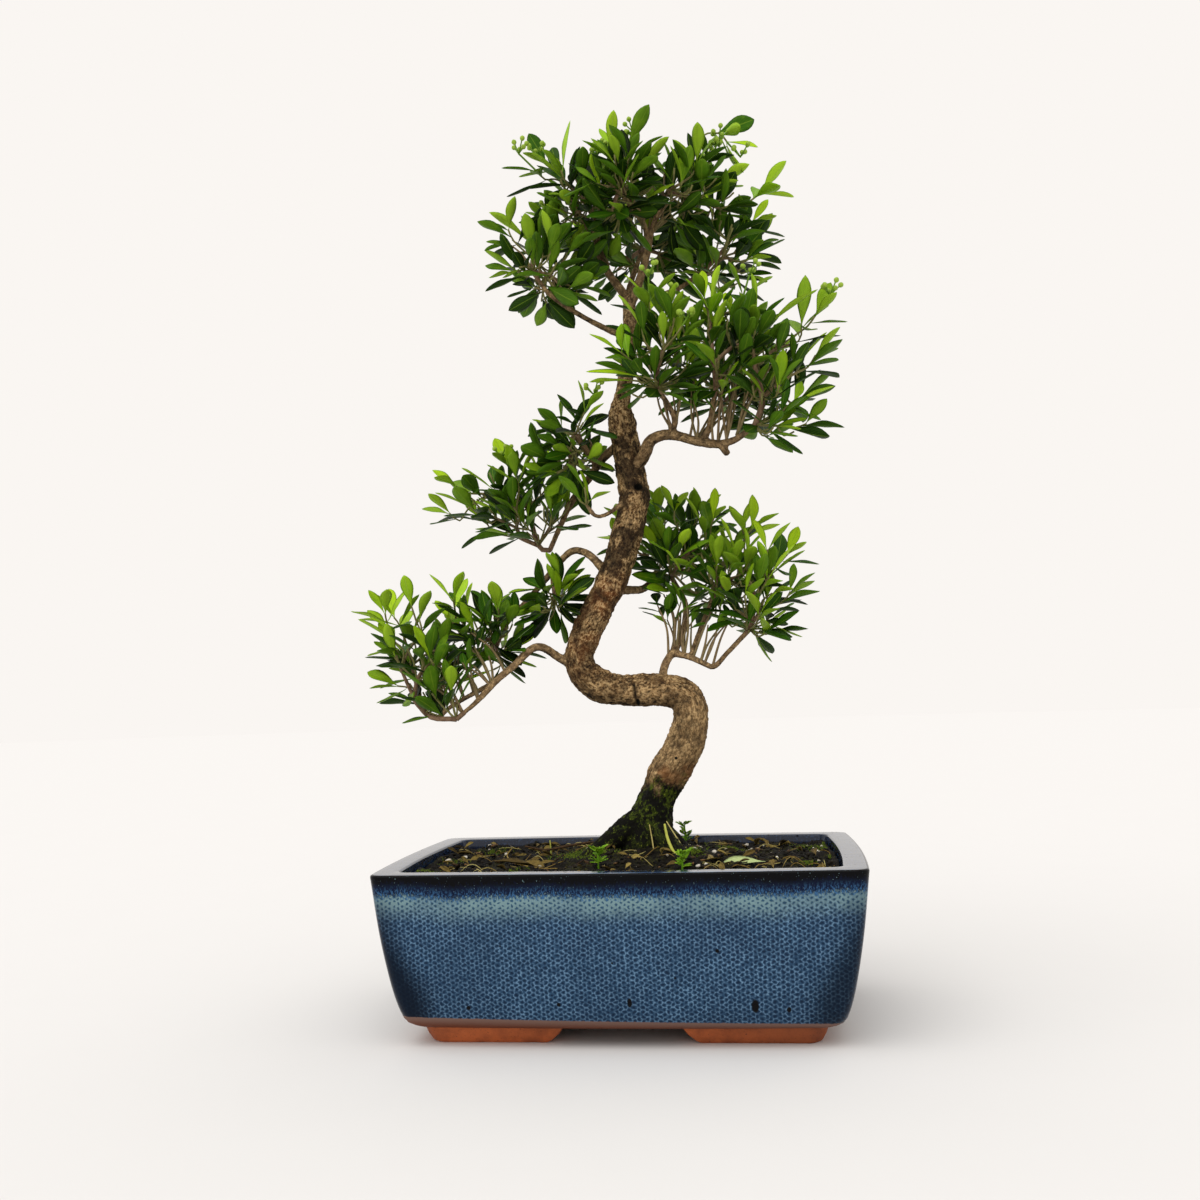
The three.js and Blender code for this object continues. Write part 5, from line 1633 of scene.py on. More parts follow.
@dataclass
class Pot:
    """The glazed pot: bowed walls, a rounded rim, a floor with drain holes, and four cut feet."""

    finishes: Finishes
    size: PotSize = POT
    corner_steps: int = 8
    side_steps: int = 26
    end_steps: int = 18
    row_step: float = 3.0
    lip_steps: int = 5
    foot_round: float = 2.2
    foot_round_steps: int = 4
    foot_edge: float = 1.0

    def ring(self, height: float, inset: float) -> Array:
        """Draws the pot's outline at one level: rounded corners and bowed sides.

        Args:
            height: The level.
            inset: How far it lies inside the widest outline.

        Returns:
            Points, counter-clockwise seen from above.
        """
        size, corner = self.size, self.size.corner
        half_x, half_y = size.length / 2 - inset, size.depth / 2 - inset
        ring = []
        for number, (sign_x, sign_y) in enumerate(((1, -1), (1, 1), (-1, 1), (-1, -1))):
            middle_x, middle_y = sign_x * (half_x - corner), sign_y * (half_y - corner)
            for step in range(self.corner_steps + 1):
                angle = math.radians(90 * (number - 1 + step / self.corner_steps))
                x, y = middle_x + corner * math.cos(angle), middle_y + corner * math.sin(angle)
                ring.append((x, y, height))
            steps = self.side_steps if number % 2 else self.end_steps
            for step in range(1, steps):
                along = 2 * step / steps - 1
                bow = size.bow * (1 - along * along)
                if number % 2:
                    ring.append((-sign_y * along * (half_x - corner), sign_y * (half_y + bow), height))
                else:
                    ring.append((sign_x * (half_x + bow), sign_x * along * (half_y - corner), height))
        return np.array(ring)

    def rows(self) -> list[tuple[float, float, int]]:
        """Runs the wall's section from under the floor, over the rim, to the inside of the floor.

        Returns:
            Rows of height, inset and the material slot of the band that ends there.
        """
        size, lip = self.size, self.size.lip
        glaze, inside, clay = PotSlot.GLAZE, PotSlot.INSIDE, PotSlot.CLAY
        outer = smooth_rows([(height, inset, 0.0) for height, inset in size.profile], self.row_step)
        arc = [math.pi / 2 * step / self.lip_steps for step in range(self.lip_steps + 1)]
        top, inner, floor = size.height - lip, size.rim_width - lip, size.floor_top + 2
        widening = size.floor_inset - size.rim_width
        return [
            *((row[0], row[1], glaze) for row in outer[:-1]),
            (top, 0.0, glaze),
            *((size.height - lip * (1 - math.sin(a)), lip * (1 - math.cos(a)), glaze) for a in arc[1:]),
            *((size.height, lip + (inner - lip) * share, inside) for share in (0.3, 0.65)),
            *((size.height - lip * (1 - math.cos(a)), inner + lip * math.sin(a), inside) for a in arc),
            *((top + (floor - size.height + lip) * share, size.rim_width + widening * share, inside)
              for share in (0.25, 0.5, 0.75)),
            (floor, size.floor_inset, clay), (size.floor_top, size.floor_inset + 2, clay),
        ]

    def foot(self, sign_x: int, sign_y: int) -> list[Array]:
        """Draws the rings of one L-shaped foot, from the ground up.

        Args:
            sign_x: Its side along the pot.
            sign_y: Its side across the pot.

        Returns:
            The rings.
        """
        size = self.size
        outer = np.array((size.length, size.depth)) / 2 - size.foot_inset
        rings = []
        for height, slope in ((0.0, 1.15), (self.foot_edge * 0.4, 1.02), (self.foot_edge, 0.92),
                              (size.foot_height / 2, 0.45), (size.foot_height + 1, 0.0)):
            x, y = outer - slope * 4
            inner_x, inner_y = outer - size.foot_width + slope * 2
            end_x, end_y = outer - (size.foot_front, size.foot_side) + slope * size.foot_slant
            corners = [(inner_x, inner_y), (inner_x, end_y), (x, end_y), (x, y - size.foot_cut),
                       (x - size.foot_cut, y), (end_x, y), (end_x, inner_y)]
            if sign_x * sign_y < 0:
                corners = [corners[0], *corners[:0:-1]]
            ring = self.rounded(np.array(corners) * (sign_x, sign_y))
            rings.append(np.column_stack([ring, np.full(len(ring), height)]))
        return rings

    def rounded(self, corners: Array) -> Array:
        """Rounds the corners of an outline.

        Args:
            corners: Its corners.

        Returns:
            The rounded outline.
        """
        points = []
        for index, corner in enumerate(corners):
            before, after = corners[index - 1] - corner, corners[(index + 1) % len(corners)] - corner
            start = corner + before * min(self.foot_round / np.linalg.norm(before), 0.45)
            end = corner + after * min(self.foot_round / np.linalg.norm(after), 0.45)
            for share in np.linspace(0, 1, self.foot_round_steps + 1):
                rest = 1 - share
                points.append(start * rest ** 2 + corner * (2 * share * rest) + end * share ** 2)
        return np.array(points)

    def build(self) -> None:
        """Makes the pot, drills its drain holes and sets it on its feet."""
        size, clay = self.size, PotSlot.CLAY
        heights, insets, slots = zip(*self.rows())
        materials = self.finishes.take("glaze", "glaze_inside", "clay")
        builder = MeshBuilder("glazed_pot")
        add_loft(builder, [self.ring(*place) for place in zip(heights, insets)], slots[1:], (clay, clay))
        pot = builder.build(materials)
        for sign in (-1, 1):
            drill = MeshBuilder("drill")
            add_tube(drill, np.array([(sign * size.drain_spacing / 2, 0, height, size.drain_radius)
                                      for height in (1.0, size.floor_top + 1)]), 48, clay)
            cutter = drill.build(materials)
            pot.modifiers.new("drain", "BOOLEAN").object = cutter
            bake(pot)
            bpy.data.objects.remove(cutter)
        builder = MeshBuilder("feet")
        for sign_x, sign_y in ((-1, -1), (-1, 1), (1, -1), (1, 1)):
            add_loft(builder, self.foot(sign_x, sign_y), clay, (clay, clay))
        feet = builder.build(materials)
        mesh = bmesh.new()
        mesh.from_mesh(pot.data)
        mesh.from_mesh(feet.data)
        mesh.to_mesh(pot.data)
        mesh.free()
        bpy.data.objects.remove(feet)
        pot.data.set_sharp_from_angle(angle=math.radians(40))
        stand_for(pot, "pot")


@dataclass
class Soil:
    """The block of soil in the pot, with a crumbly top."""

    finishes: Finishes
    pot: Pot
    rings: int = 56
    crumb: float = 1.1

    def build(self) -> None:
        """Makes the soil, ring by ring from its foot to its crown."""
        edge = self.inside_ring(SOIL.edge_height - 4)
        rings = [self.inside_ring(POT.floor_top + 2.2), self.inside_ring(50.0), edge]
        middle = np.array((SOIL.mound_x, 0.0))
        for step in range(self.rings):
            flat = middle + (edge[:, :2] - middle) * (1 - step / (self.rings - 0.4))
            bumps = [noise.fractal(Vector((x / 5, y / 5, 0.0)), 0.8, 2.1, 4) for x, y in flat]
            crumb = self.crumb * min(1.0, (self.rings - step) / 8) * np.array(bumps)
            rings.append(np.column_stack([flat, soil_height(flat[:, 0], flat[:, 1]) + crumb]))
        builder = MeshBuilder("soil_mound")
        add_loft(builder, rings, 0, (0, 0))
        stand_for(builder.build(self.finishes.take("soil")), "soil")

    def inside_ring(self, height: float) -> Array:
        """Draws the pot's inside at one level, with a gap for the soil.

        Args:
            height: The level.

        Returns:
            The outline's points.
        """
        rise = (height - POT.floor_top) / (POT.height + 2 - POT.floor_top)
        inset = POT.floor_inset + (POT.rim_width - POT.floor_inset) * rise + SOIL.clearance
        return self.pot.ring(height, inset)


@dataclass
class Wood:
    """The trunk with its roots and branches: one grown skin of bark, with a knot hole and a crack."""

    finishes: Finishes
    voxel: float = 0.85
    knot: Row = (12.4, -9, 304.8)
    knot_radius: float = 2.0
    crack: Rows = ((6.3, -10.8, 189.5), (6.6, -11.8, 186), (6.9, -12, 182.5), (7.3, -11.4, 179.5),
                   (8.4, -10.2, 177.5))
    seam: Rows = ((-15, -8, 245), (-11, -9, 240), (-5, -9, 236.5))

    def build(self) -> None:
        """Makes the wood as tubes, grows one skin over them and roughens it."""
        builder = MeshBuilder("trunk_bark")
        lines, frames, runs = [], [], []
        for number, rows in enumerate((TRUNK, *ROOTS, *BRANCHES.values())):
            fine = smooth_rows(rows, 2.0)
            fine[:, 3] = np.maximum(fine[:, 3], min(row[3] for row in rows))
            add_tube(builder, fine, 18 if number else 30, lobes=0.0 if number else 0.05)
            steps = np.linalg.norm(np.diff(fine[:, :3], axis=0), axis=1)
            lines.append(fine)
            frames.append(tube_frames(fine[:, :3]))
            runs.append(np.concatenate(([0.0], np.cumsum(steps))) + 137.0 * number)
        self.line, self.frames, self.runs = np.vstack(lines), np.vstack(frames), np.concatenate(runs)
        wood = builder.build(self.finishes.take("bark"))
        remesh = wood.modifiers.new("skin", "REMESH")
        remesh.mode = "VOXEL"
        remesh.voxel_size = self.voxel * MM
        wood.modifiers.new("smooth", "SMOOTH").iterations = 3
        bake(wood)
        self.roughen(wood.data)
        log.info("%s: %d faces once its bark is on", wood.name, len(wood.data.polygons))
        stand_for(wood, "trunk")

    def roughen(self, mesh: bpy.types.Mesh) -> None:
        """Moves the skin's points into lumps, flakes, the knot hole and the crack, and stores painted shade
        for the hole, the crack, the seam, the creases and the undersides.

        Args:
            mesh: The wood's mesh.
        """
        points, normals = (np.empty(len(mesh.vertices) * 3) for _ in range(2))
        mesh.vertices.foreach_get("co", points)
        mesh.vertices.foreach_get("normal", normals)
        points, normals = points.reshape(-1, 3) / MM - SHIFT, normals.reshape(-1, 3)
        nearest = self.nearest(points)
        radii = self.line[nearest, 3]
        local = np.einsum("nk,nak->na", points - self.line[nearest, :3], self.frames[nearest])
        grain = np.column_stack([local[:, 1], local[:, 2], local[:, 0] + self.runs[nearest]])
        rough = np.array([self.relief(Vector(place)) for place in grain])
        strong = np.clip(radii / 9, 0.12, 1.0)
        depth = strong * (rough[:, 0] * 1.1 + rough[:, 1] * 0.62 + rough[:, 2] * 0.3)
        flat = np.array((1.0, 0.3, 1.0))
        hole = np.linalg.norm((points - np.array(self.knot)) * flat, axis=1) / self.knot_radius
        split, fold = (self.line_distance(points * flat, np.array(line) * flat)
                       for line in (self.crack, self.seam))
        front = normals[:, 1] < 0.2
        inside = front / (1 + np.exp((hole - 1.0) * 9))
        depth += front * 0.7 * np.exp(-((hole - 1.6) / 0.35) ** 2) - 3.4 * inside
        depth -= front * (2.2 * np.exp(-(split / 0.9) ** 2) + 0.7 * np.exp(-(fold / 1.0) ** 2))
        # Painted shade: the knot hole's inside, the crack and the seam are darkened on the front through the
        # tone that the bark reads.
        dark = inside + front * (1.3 * np.exp(-(split / 0.85) ** 2) + 0.7 * np.exp(-(fold / 0.8) ** 2))
        # Painted shade: sunken bark and faces that look downwards are darkened too.
        painted_crease_shade = np.clip(-rough[:, 1] * 0.9 - rough[:, 0] * 0.4, 0, 0.65)
        painted_crease_shade += 0.8 * np.clip(-normals[:, 2] - 0.25, 0, 1)
        points += normals * depth[:, None]
        mesh.vertices.foreach_set("co", ((points + SHIFT) * MM).ravel())
        store(mesh, "tone", np.clip(np.maximum(dark, painted_crease_shade), 0, 1))
        store(mesh, "girth", radii / 9)
        store(mesh, "grain", grain * MM)
        mesh.update()
        mesh.shade_smooth()

    @staticmethod
    def relief(place: Vector) -> tuple[float, float, float]:
        """Measures the bark's lumps, plates and flakes where the third number runs along the wood.

        Args:
            place: Where.

        Returns:
            The lumps, plates and flakes, each round zero.
        """
        x, y, z = place
        lumps = noise.fractal(Vector((x / 9, y / 9, z / 15)), 1.0, 2.0, 2)
        plates = noise.fractal(Vector((x / 2.2 + lumps, y / 2.2, z / 3.6)), 0.7, 2.0, 3)
        flakes = noise.ridged_multi_fractal(Vector((x / 2.0, y / 2.0 + 7, z / 3.0)), 0.8, 2.1, 3, 1.0, 2.0)
        return lumps, plates, flakes - 1.3

    def nearest(self, points: Array, block: int = 4000) -> Array:
        """Finds the line point whose wood each place belongs to.

        Args:
            points: The places.
            block: Number of places to work on at once.

        Returns:
            Numbers of line points.
        """
        found = []
        for start in range(0, len(points), block):
            offset = points[start:start + block, None] - self.line[None, :, :3]
            found.append((np.linalg.norm(offset, axis=2) - self.line[:, 3]).argmin(axis=1))
        return np.concatenate(found)

    @staticmethod
    def line_distance(points: Array, line: Array) -> Array:
        """Measures how far places are from a line.

        Args:
            points: The places.
            line: Its points.

        Returns:
            The distances.
        """
        nearest = np.full(len(points), np.inf)
        for start, end in zip(line[:-1], line[1:]):
            way = end - start
            share = np.clip((points - start) @ way / (way @ way), 0, 1)
            nearest = np.minimum(nearest, np.linalg.norm(points - start - share[:, None] * way, axis=1))
        return nearest


class LeafSlot(IntEnum):
    """Material slots of a leafy piece."""

    TWIG = 0
    FACE = 1
    BACK = 2
    BUD = 3


@dataclass
class LeafPattern:
    """The form of a leaf: a folded, drooping blade with a small point, thin but closed."""

    outline: Rows = ((0, 0.07), (0.09, 0.08), (0.18, 0.2), (0.3, 0.46), (0.42, 0.73), (0.54, 0.93),
                     (0.64, 1.0), (0.75, 0.94), (0.85, 0.74), (0.94, 0.4), (1.0, 0.03))
    columns: Row = (-1.0, -0.55, 0.0, 0.55, 1.0)

    def __post_init__(self) -> None:
        """Numbers the faces once."""
        keys = np.array(self.outline)
        rows, columns = len(keys), len(self.columns)
        self.shares, self.widths, self.across = keys[:, 0], keys[:, 1], np.array(self.columns)
        self.top_faces = grid_faces(rows, columns)
        under = np.arange(rows * columns).reshape(rows, columns)
        under[1:-1, 1:-1] = rows * columns + np.arange((rows - 2) * (columns - 2)).reshape(rows - 2, -1)
        self.under_faces = under.ravel()[self.top_faces[:, ::-1]]

    def add(self, builder: MeshBuilder, blade: Blade, random: RandomStream,
            slots: tuple[int, int] = (LeafSlot.FACE, LeafSlot.BACK), curl: float = 1.0) -> None:
        """Adds one leaf.

        Args:
            builder: The builder that takes it.
            blade: Where it is and how long.
            random: The stream for its own fold, bend and twist.
            slots: Material slots of its two faces.
            curl: How strongly it folds and bends.
        """
        length = blade.length * random.between(1.0, 1.12)
        share = self.shares[:, None]
        half = length * LEAF.width_ratio / 2 * random.between(0.72, 0.94) * self.widths[:, None]
        across = self.across[None, :] * half
        fold = random.between(0.18, 0.42) * curl
        bend = random.between(-0.05, 0.05) * curl
        droop = LEAF.droop * random.between(0.3, 1.25) * curl
        droop += 0.45 * min(float(blade.along[2]) + 0.1, 0.0)
        twist = random.between(-0.25, 0.25) * curl
        wave = random.between(0.0, TURN)
        lift = np.abs(across) * fold + across * np.sin(twist * share)
        lift = lift + half * 0.07 * np.sin(share * 9 + wave) * np.sign(self.across) * np.abs(self.across)
        lift = lift - droop * length * share * share - 0.25 * half * fold
        along = share * length * np.ones_like(across)
        side = across * np.cos(twist * share) + bend * length * share * share
        top = (blade.foot + along[..., None] * blade.along + side[..., None] * blade.side
               + lift[..., None] * blade.upper)
        thick = LEAF.thickness * (1 - 0.5 * np.abs(self.across[1:-1]))[None, :, None]
        uv = np.stack(np.broadcast_arrays((self.across[None, :] + 1) / 2, share), axis=-1)
        under = top[1:-1, 1:-1] - blade.upper * thick
        points, uvs = np.vstack([top.reshape(-1, 3), under.reshape(-1, 3)]), uv.reshape(-1, 2)
        uvs = np.vstack([uvs, uv[1:-1, 1:-1].reshape(-1, 2)])
        builder.add(points, self.top_faces, slots[0], uvs,
                    np.clip(blade.tone + random.between(-0.28, 0.42), 0, 1))
        builder.add_faces(self.under_faces, slots[1], len(points))


def add_bud(builder: MeshBuilder, start: Array, way: Array, radius: float, tone: float, slot: int) -> None:
    """Adds one round bud.

    Args:
        builder: The builder that takes it.
        start: Its foot.
        way: The way it points.
        radius: Its radius.
        tone: Its shade.
        slot: Its material slot.
    """
    profile = ((0, 0.3), (0.12, 0.62), (0.3, 0.9), (0.5, 1.0), (0.7, 0.9), (0.88, 0.6), (1, 0.12))
    rows = np.array([(*(start + way * (share * radius * 2.1)), wide * radius) for share, wide in profile])
    add_tube(builder, rows, 10, slot, tone)


def add_bud_cluster(builder: MeshBuilder, end: Array, axis: Array, random: RandomStream, count: int,
                    stalk: float, slot: int = 0, open_out: bool = False) -> None:
    """Adds a stalk that divides into a few stems, each with a bud and maybe three small ones beside it.

    Args:
        builder: The builder that takes it.
        end: The end of the twig that carries it.
        axis: The way the twig points there.
        random: The stream for its shape.
        count: Number of stems.
        stalk: The stalk's length.
        slot: Material slot.
        open_out: Whether the stems are long, with one bud each.
    """
    fork = end + axis * stalk
    rows = [(*(end - axis), 0.55), (*end, 0.6), (*fork, 0.55)]
    add_tube(builder, smooth_rows(rows, 1.5), TWIG.sides, slot, 0.1)
    for bud in range(count):
        lean = unit(heading(bud * 2.4 + random.next(), 0.9 + 0.8 * random.next()))
        reach = 4.5 + random.next() + (bud % 3) * 2.0 * open_out
        stem = np.array([(*(fork - lean * 0.4), 0.4), (*(fork + lean * (reach - 1.2)), 0.38)])
        add_tube(builder, stem, TWIG.sides, slot, 0.1)
        add_bud(builder, fork + lean * (reach - 1.8), lean, 1.5 if open_out else 1.9, 0.75, slot)
        for small in range(0 if open_out else 3):
            out = unit(np.cross(lean, heading(small * 2.1 + bud, 0.3)))
            foot = fork + lean * (reach - 2.2) + out * 0.7
            add_bud(builder, foot, unit(lean * 0.75 + out), 0.95, 0.45, slot)


class Foliage:
    """All twigs and leaves, grown by the same rule as the solids and then made denser."""

    FORKS = 3
    FAN_LEAVES = 5

    def __init__(self, finishes: Finishes) -> None:
        """Grows every spray, in the order in which the solids were grown.

        Args:
            finishes: The materials.
        """
        self.finishes, self.pattern, self.around = finishes, LeafPattern(), Surroundings()
        self.random, self.shapes, self.bare = (RandomStream(seed) for seed in
                                               (SEED, EXTRA_SEED + 1, EXTRA_SEED + 2))
        for rows in (TRUNK, *BRANCHES.values()):
            keys = np.array(rows, dtype=float)
            self.around.note_wood(list(keys[:, :3]), list(keys[:, 3]), "wood")
        self.sprays = [Spray(plan, self.random, self.around) for plan in SPRAYS]
        for spray in self.sprays:
            for numbers in spray.plan.shown:
                spray.place_shown(numbers, False)
            for numbers in spray.plan.fresh:
                spray.place_shown(numbers, True)
        self.bud_stands: list[tuple[Array, Array]] = []
        self.reserve_buds()
        for spray in self.sprays:
            spray.fill(spray.plan.shoots, TWIG.spacing, 0.45)
        for spray in self.sprays:
            spray.leaf_out()

    def reserve_buds(self) -> None:
        """Grows the twigs that carry flower buds."""
        by_name = {spray.name: spray for spray in self.sprays}
        for name, at in BUDS:
            carrier, end = by_name[name], np.array(at, dtype=float)
            axis = unit(unit(end - carrier.middle) + UP)
            if carrier.grow_to(end, axis):
                carrier.shoots.append(Shoot(end, axis, name, False, len(carrier.stems) - 1))
                self.around.note_wood([end, end + axis * 9], [5.0, 5.0], "buds")
                self.bud_stands.append((end, axis))

    def build(self) -> None:
        """Adds the finer shoots and makes one piece for each spray and each new shoot."""
        extra, self.around.rooms = RandomStream(EXTRA_SEED), FINE_ROOMS
        for spray in self.sprays:
            spray.thicken(extra)
        number = 0
        for spray in self.sprays:
            builder = MeshBuilder(f"leaves_{spray.name.removeprefix('spray_')}")
            spray.add_twigs(builder, LeafSlot.TWIG)
            self.add_leaves(builder, spray.name)
            self.add_fans(builder, spray.name)
            leafy = [shoot for shoot in spray.shoots[:spray.leafy] if not shoot.fresh]
            for shoot in sorted(leafy, key=lambda shoot: -shoot.end[2])[:spray.plan.buds]:
                stalk = self.shapes.between(7, 14)
                add_bud_cluster(builder, shoot.end, shoot.axis, self.shapes, 6, stalk, LeafSlot.BUD, True)
            piece = builder.build(self.finishes.take("twig", "leaf", "leaf_back", "bud"))
            stand_for(piece, spray.name)
            for shoot in (shoot for shoot in spray.shoots if shoot.fresh):
                number += 1
                builder = MeshBuilder(f"fresh_leaves_{number}")
                start = shoot.end - shoot.axis * (TWIG.new_shoot + 1.5)
                rows = [(*start, 0.62), (*shoot.end, 0.5), (*(shoot.end + shoot.axis), 0.25)]
                add_tube(builder, smooth_rows(rows, 2.0), TWIG.sides, LeafSlot.TWIG, 1.0)
                self.add_leaves(builder, shoot.owner)
                stand_for(builder.build(self.finishes.take("twig", "new_leaf", "new_leaf")),
                          f"new_shoot_{number}")

    def add_fans(self, builder: MeshBuilder, owner: str) -> None:
        """Adds the thin bare twigs that fan out from a branch up into the leaves.

        Args:
            builder: The builder that takes them.
            owner: Name of the spray that they belong to.
        """
        bare = self.bare
        for _, first, last, middle, reach, count in (fan for fan in FANS if fan[0] == owner):
            for _ in range(count):
                share, stretch = bare.next(), np.array(last) - np.array(first)
                fork = round(share * self.FORKS) / self.FORKS
                start = np.array(first) + stretch * (fork + 0.15 * (share - fork))
                stray = bare.three() * 2 - 1
                end = np.array(middle) + stretch * (1.3 * (share - 0.5)) + stray * reach
                bend = start * 0.55 + end * 0.45 + (bare.three() * 5 - 2.5) + UP * 2
                rows = [(*start, 0.85), (*bend, 0.65), (*end, 0.42)]
                add_tube(builder, smooth_rows(rows, 2.5), TWIG.sides, LeafSlot.TWIG, bare.between(0.2, 0.55))
                self.add_fan_leaves(builder, bend, end, f"fan_{owner}")

    def add_fan_leaves(self, builder: MeshBuilder, bend: Array, end: Array, owner: str) -> None:
        """Adds the few shaded leaves near the end of a thin twig, where they have room.

        Args:
            builder: The builder that takes them.
            bend: The twig's middle.
            end: Its end.
            owner: What the leaves belong to.
        """
        bare, way = self.bare, unit(end - bend)
        for number in range(self.FAN_LEAVES):
            out = unit(np.cross(way, heading(bare.between(0, TURN), 0.4)))
            foot = end + (bend - end) * (0.3 * (number // 2))
            length, tone = bare.between(11, 20), bare.between(0.0, 0.4)
            blade = Blade(foot, way * 0.9 + out, way + UP, length, owner, tone)
            if self.around.try_blade(blade):
                self.pattern.add(builder, blade, bare)

    def add_leaves(self, builder: MeshBuilder, owner: str) -> None:
        """Adds the leaves that belong to one owner."""
        for blade in (blade for blade in self.around.blades if blade.owner == owner):
            self.pattern.add(builder, blade, self.shapes)


@dataclass
class FlowerBuds:
    """Stalks that divide into small clusters of round buds."""

    finishes: Finishes
    foliage: Foliage

    def build(self) -> None:
        """Makes every cluster."""
        for number, (end, axis) in enumerate(self.foliage.bud_stands, start=1):
            builder = MeshBuilder(f"bud_cluster_{number}")
            add_bud_cluster(builder, end, axis, self.foliage.random, 3, TWIG.gap + 4)
            stand_for(builder.build(self.finishes.take("bud")), f"flower_buds_{number}")


@dataclass
class Weeds:
    """Small ferny plants that grow in the soil."""

    finishes: Finishes
    foliage: Foliage
    leaflets: int = 6
    extra_fronds: int = 12

    def build(self) -> None:
        """Makes every weed."""
        random, shapes = self.foliage.random, self.foliage.shapes
        for number, (x, y, height, count) in enumerate(WEEDS, start=1):
            foot = on_soil(x, y)
            top = foot + UP * height
            builder = MeshBuilder(f"soil_weed_{number}")
            stem = [(*(foot - UP * SOIL.weed_root_depth), 0.6), (*foot, 0.6), (*top, 0.35)]
            add_tube(builder, smooth_rows(stem, 2.0), TWIG.sides, 0, 0.3)
            for leaf in range(count):
                way = heading(leaf / count * 2 * math.pi + random.next(), 0.75)
                start = top - UP * (0.6 + 1.1 * (leaf % 2))
                self.add_frond(builder, Blade(start, way, UP, (8 + 3 * random.next()) * 0.55, "weed"))
            for _ in range(self.extra_fronds):
                way = heading(shapes.between(0, TURN), shapes.between(0.2, 1.8))
                start = top - UP * (height * shapes.between(0.15, 0.85))
                self.add_frond(builder, Blade(start, way, UP, shapes.between(3.5, 6), "weed"))
            stand_for(builder.build(self.finishes.take("weed")), f"weed_{number}")

    def add_frond(self, builder: MeshBuilder, blade: Blade) -> None:
        """Adds one leaf, made up of leaflets on a stalk.

        Args:
            builder: The builder that takes it.
            blade: The leaf's place and length.
        """
        rows = np.array([(*blade.point(share, 0.0), 0.22) for share in np.linspace(0, 0.9, 6)])
        add_tube(builder, rows, 5, 0, 0.4)
        for step in range(self.leaflets):
            share = 0.22 + 0.7 * step / (self.leaflets - 1)
            size = blade.length * (0.46 - 0.3 * abs(share - 0.45))
            for sign in (-1, 1):
                way = blade.along * 0.75 + blade.side * sign
                leaflet = Blade(blade.point(share, 0.0), way, blade.upper, size, "weed", 0.5)
                self.foliage.pattern.add(builder, leaflet, self.foliage.shapes, (0, 0))


@dataclass
class FallenLeaves:
    """Dead leaves that lie on the soil."""

    finishes: Finishes
    foliage: Foliage
    still_green: int = 4

    def build(self) -> None:
        """Makes every fallen leaf."""
        for number, (x, y, turn, length) in enumerate(FALLEN, start=1):
            foot, way = np.array((x, y, 100.0)), heading(math.radians(turn))
            blade = Blade(foot, way, UP - (0.0, 0.35, 0.0), length, "fallen", 0.3 + 0.12 * number)
            builder = MeshBuilder(f"dead_leaf_{number}")
            self.foliage.pattern.add(builder, blade, self.foliage.shapes, (0, 0), curl=1.5)
            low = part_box(f"fallen_leaf_{number}")[0][2] / MM - SHIFT[2]
            builder.points[0][:, 2] -= builder.points[0][:, 2].min() - low + 0.6
            finish = "pale_leaf" if number == self.still_green else "dead_leaf"
            stand_for(builder.build(self.finishes.take(finish)), f"fallen_leaf_{number}")


class LitterSlot(IntEnum):
    """Material slots of the loose matter on the soil."""

    HUMUS = 0
    CHIP = 1
    PEBBLE = 2
    STRAW = 3
    FLAKE = 4
    STEM = 5


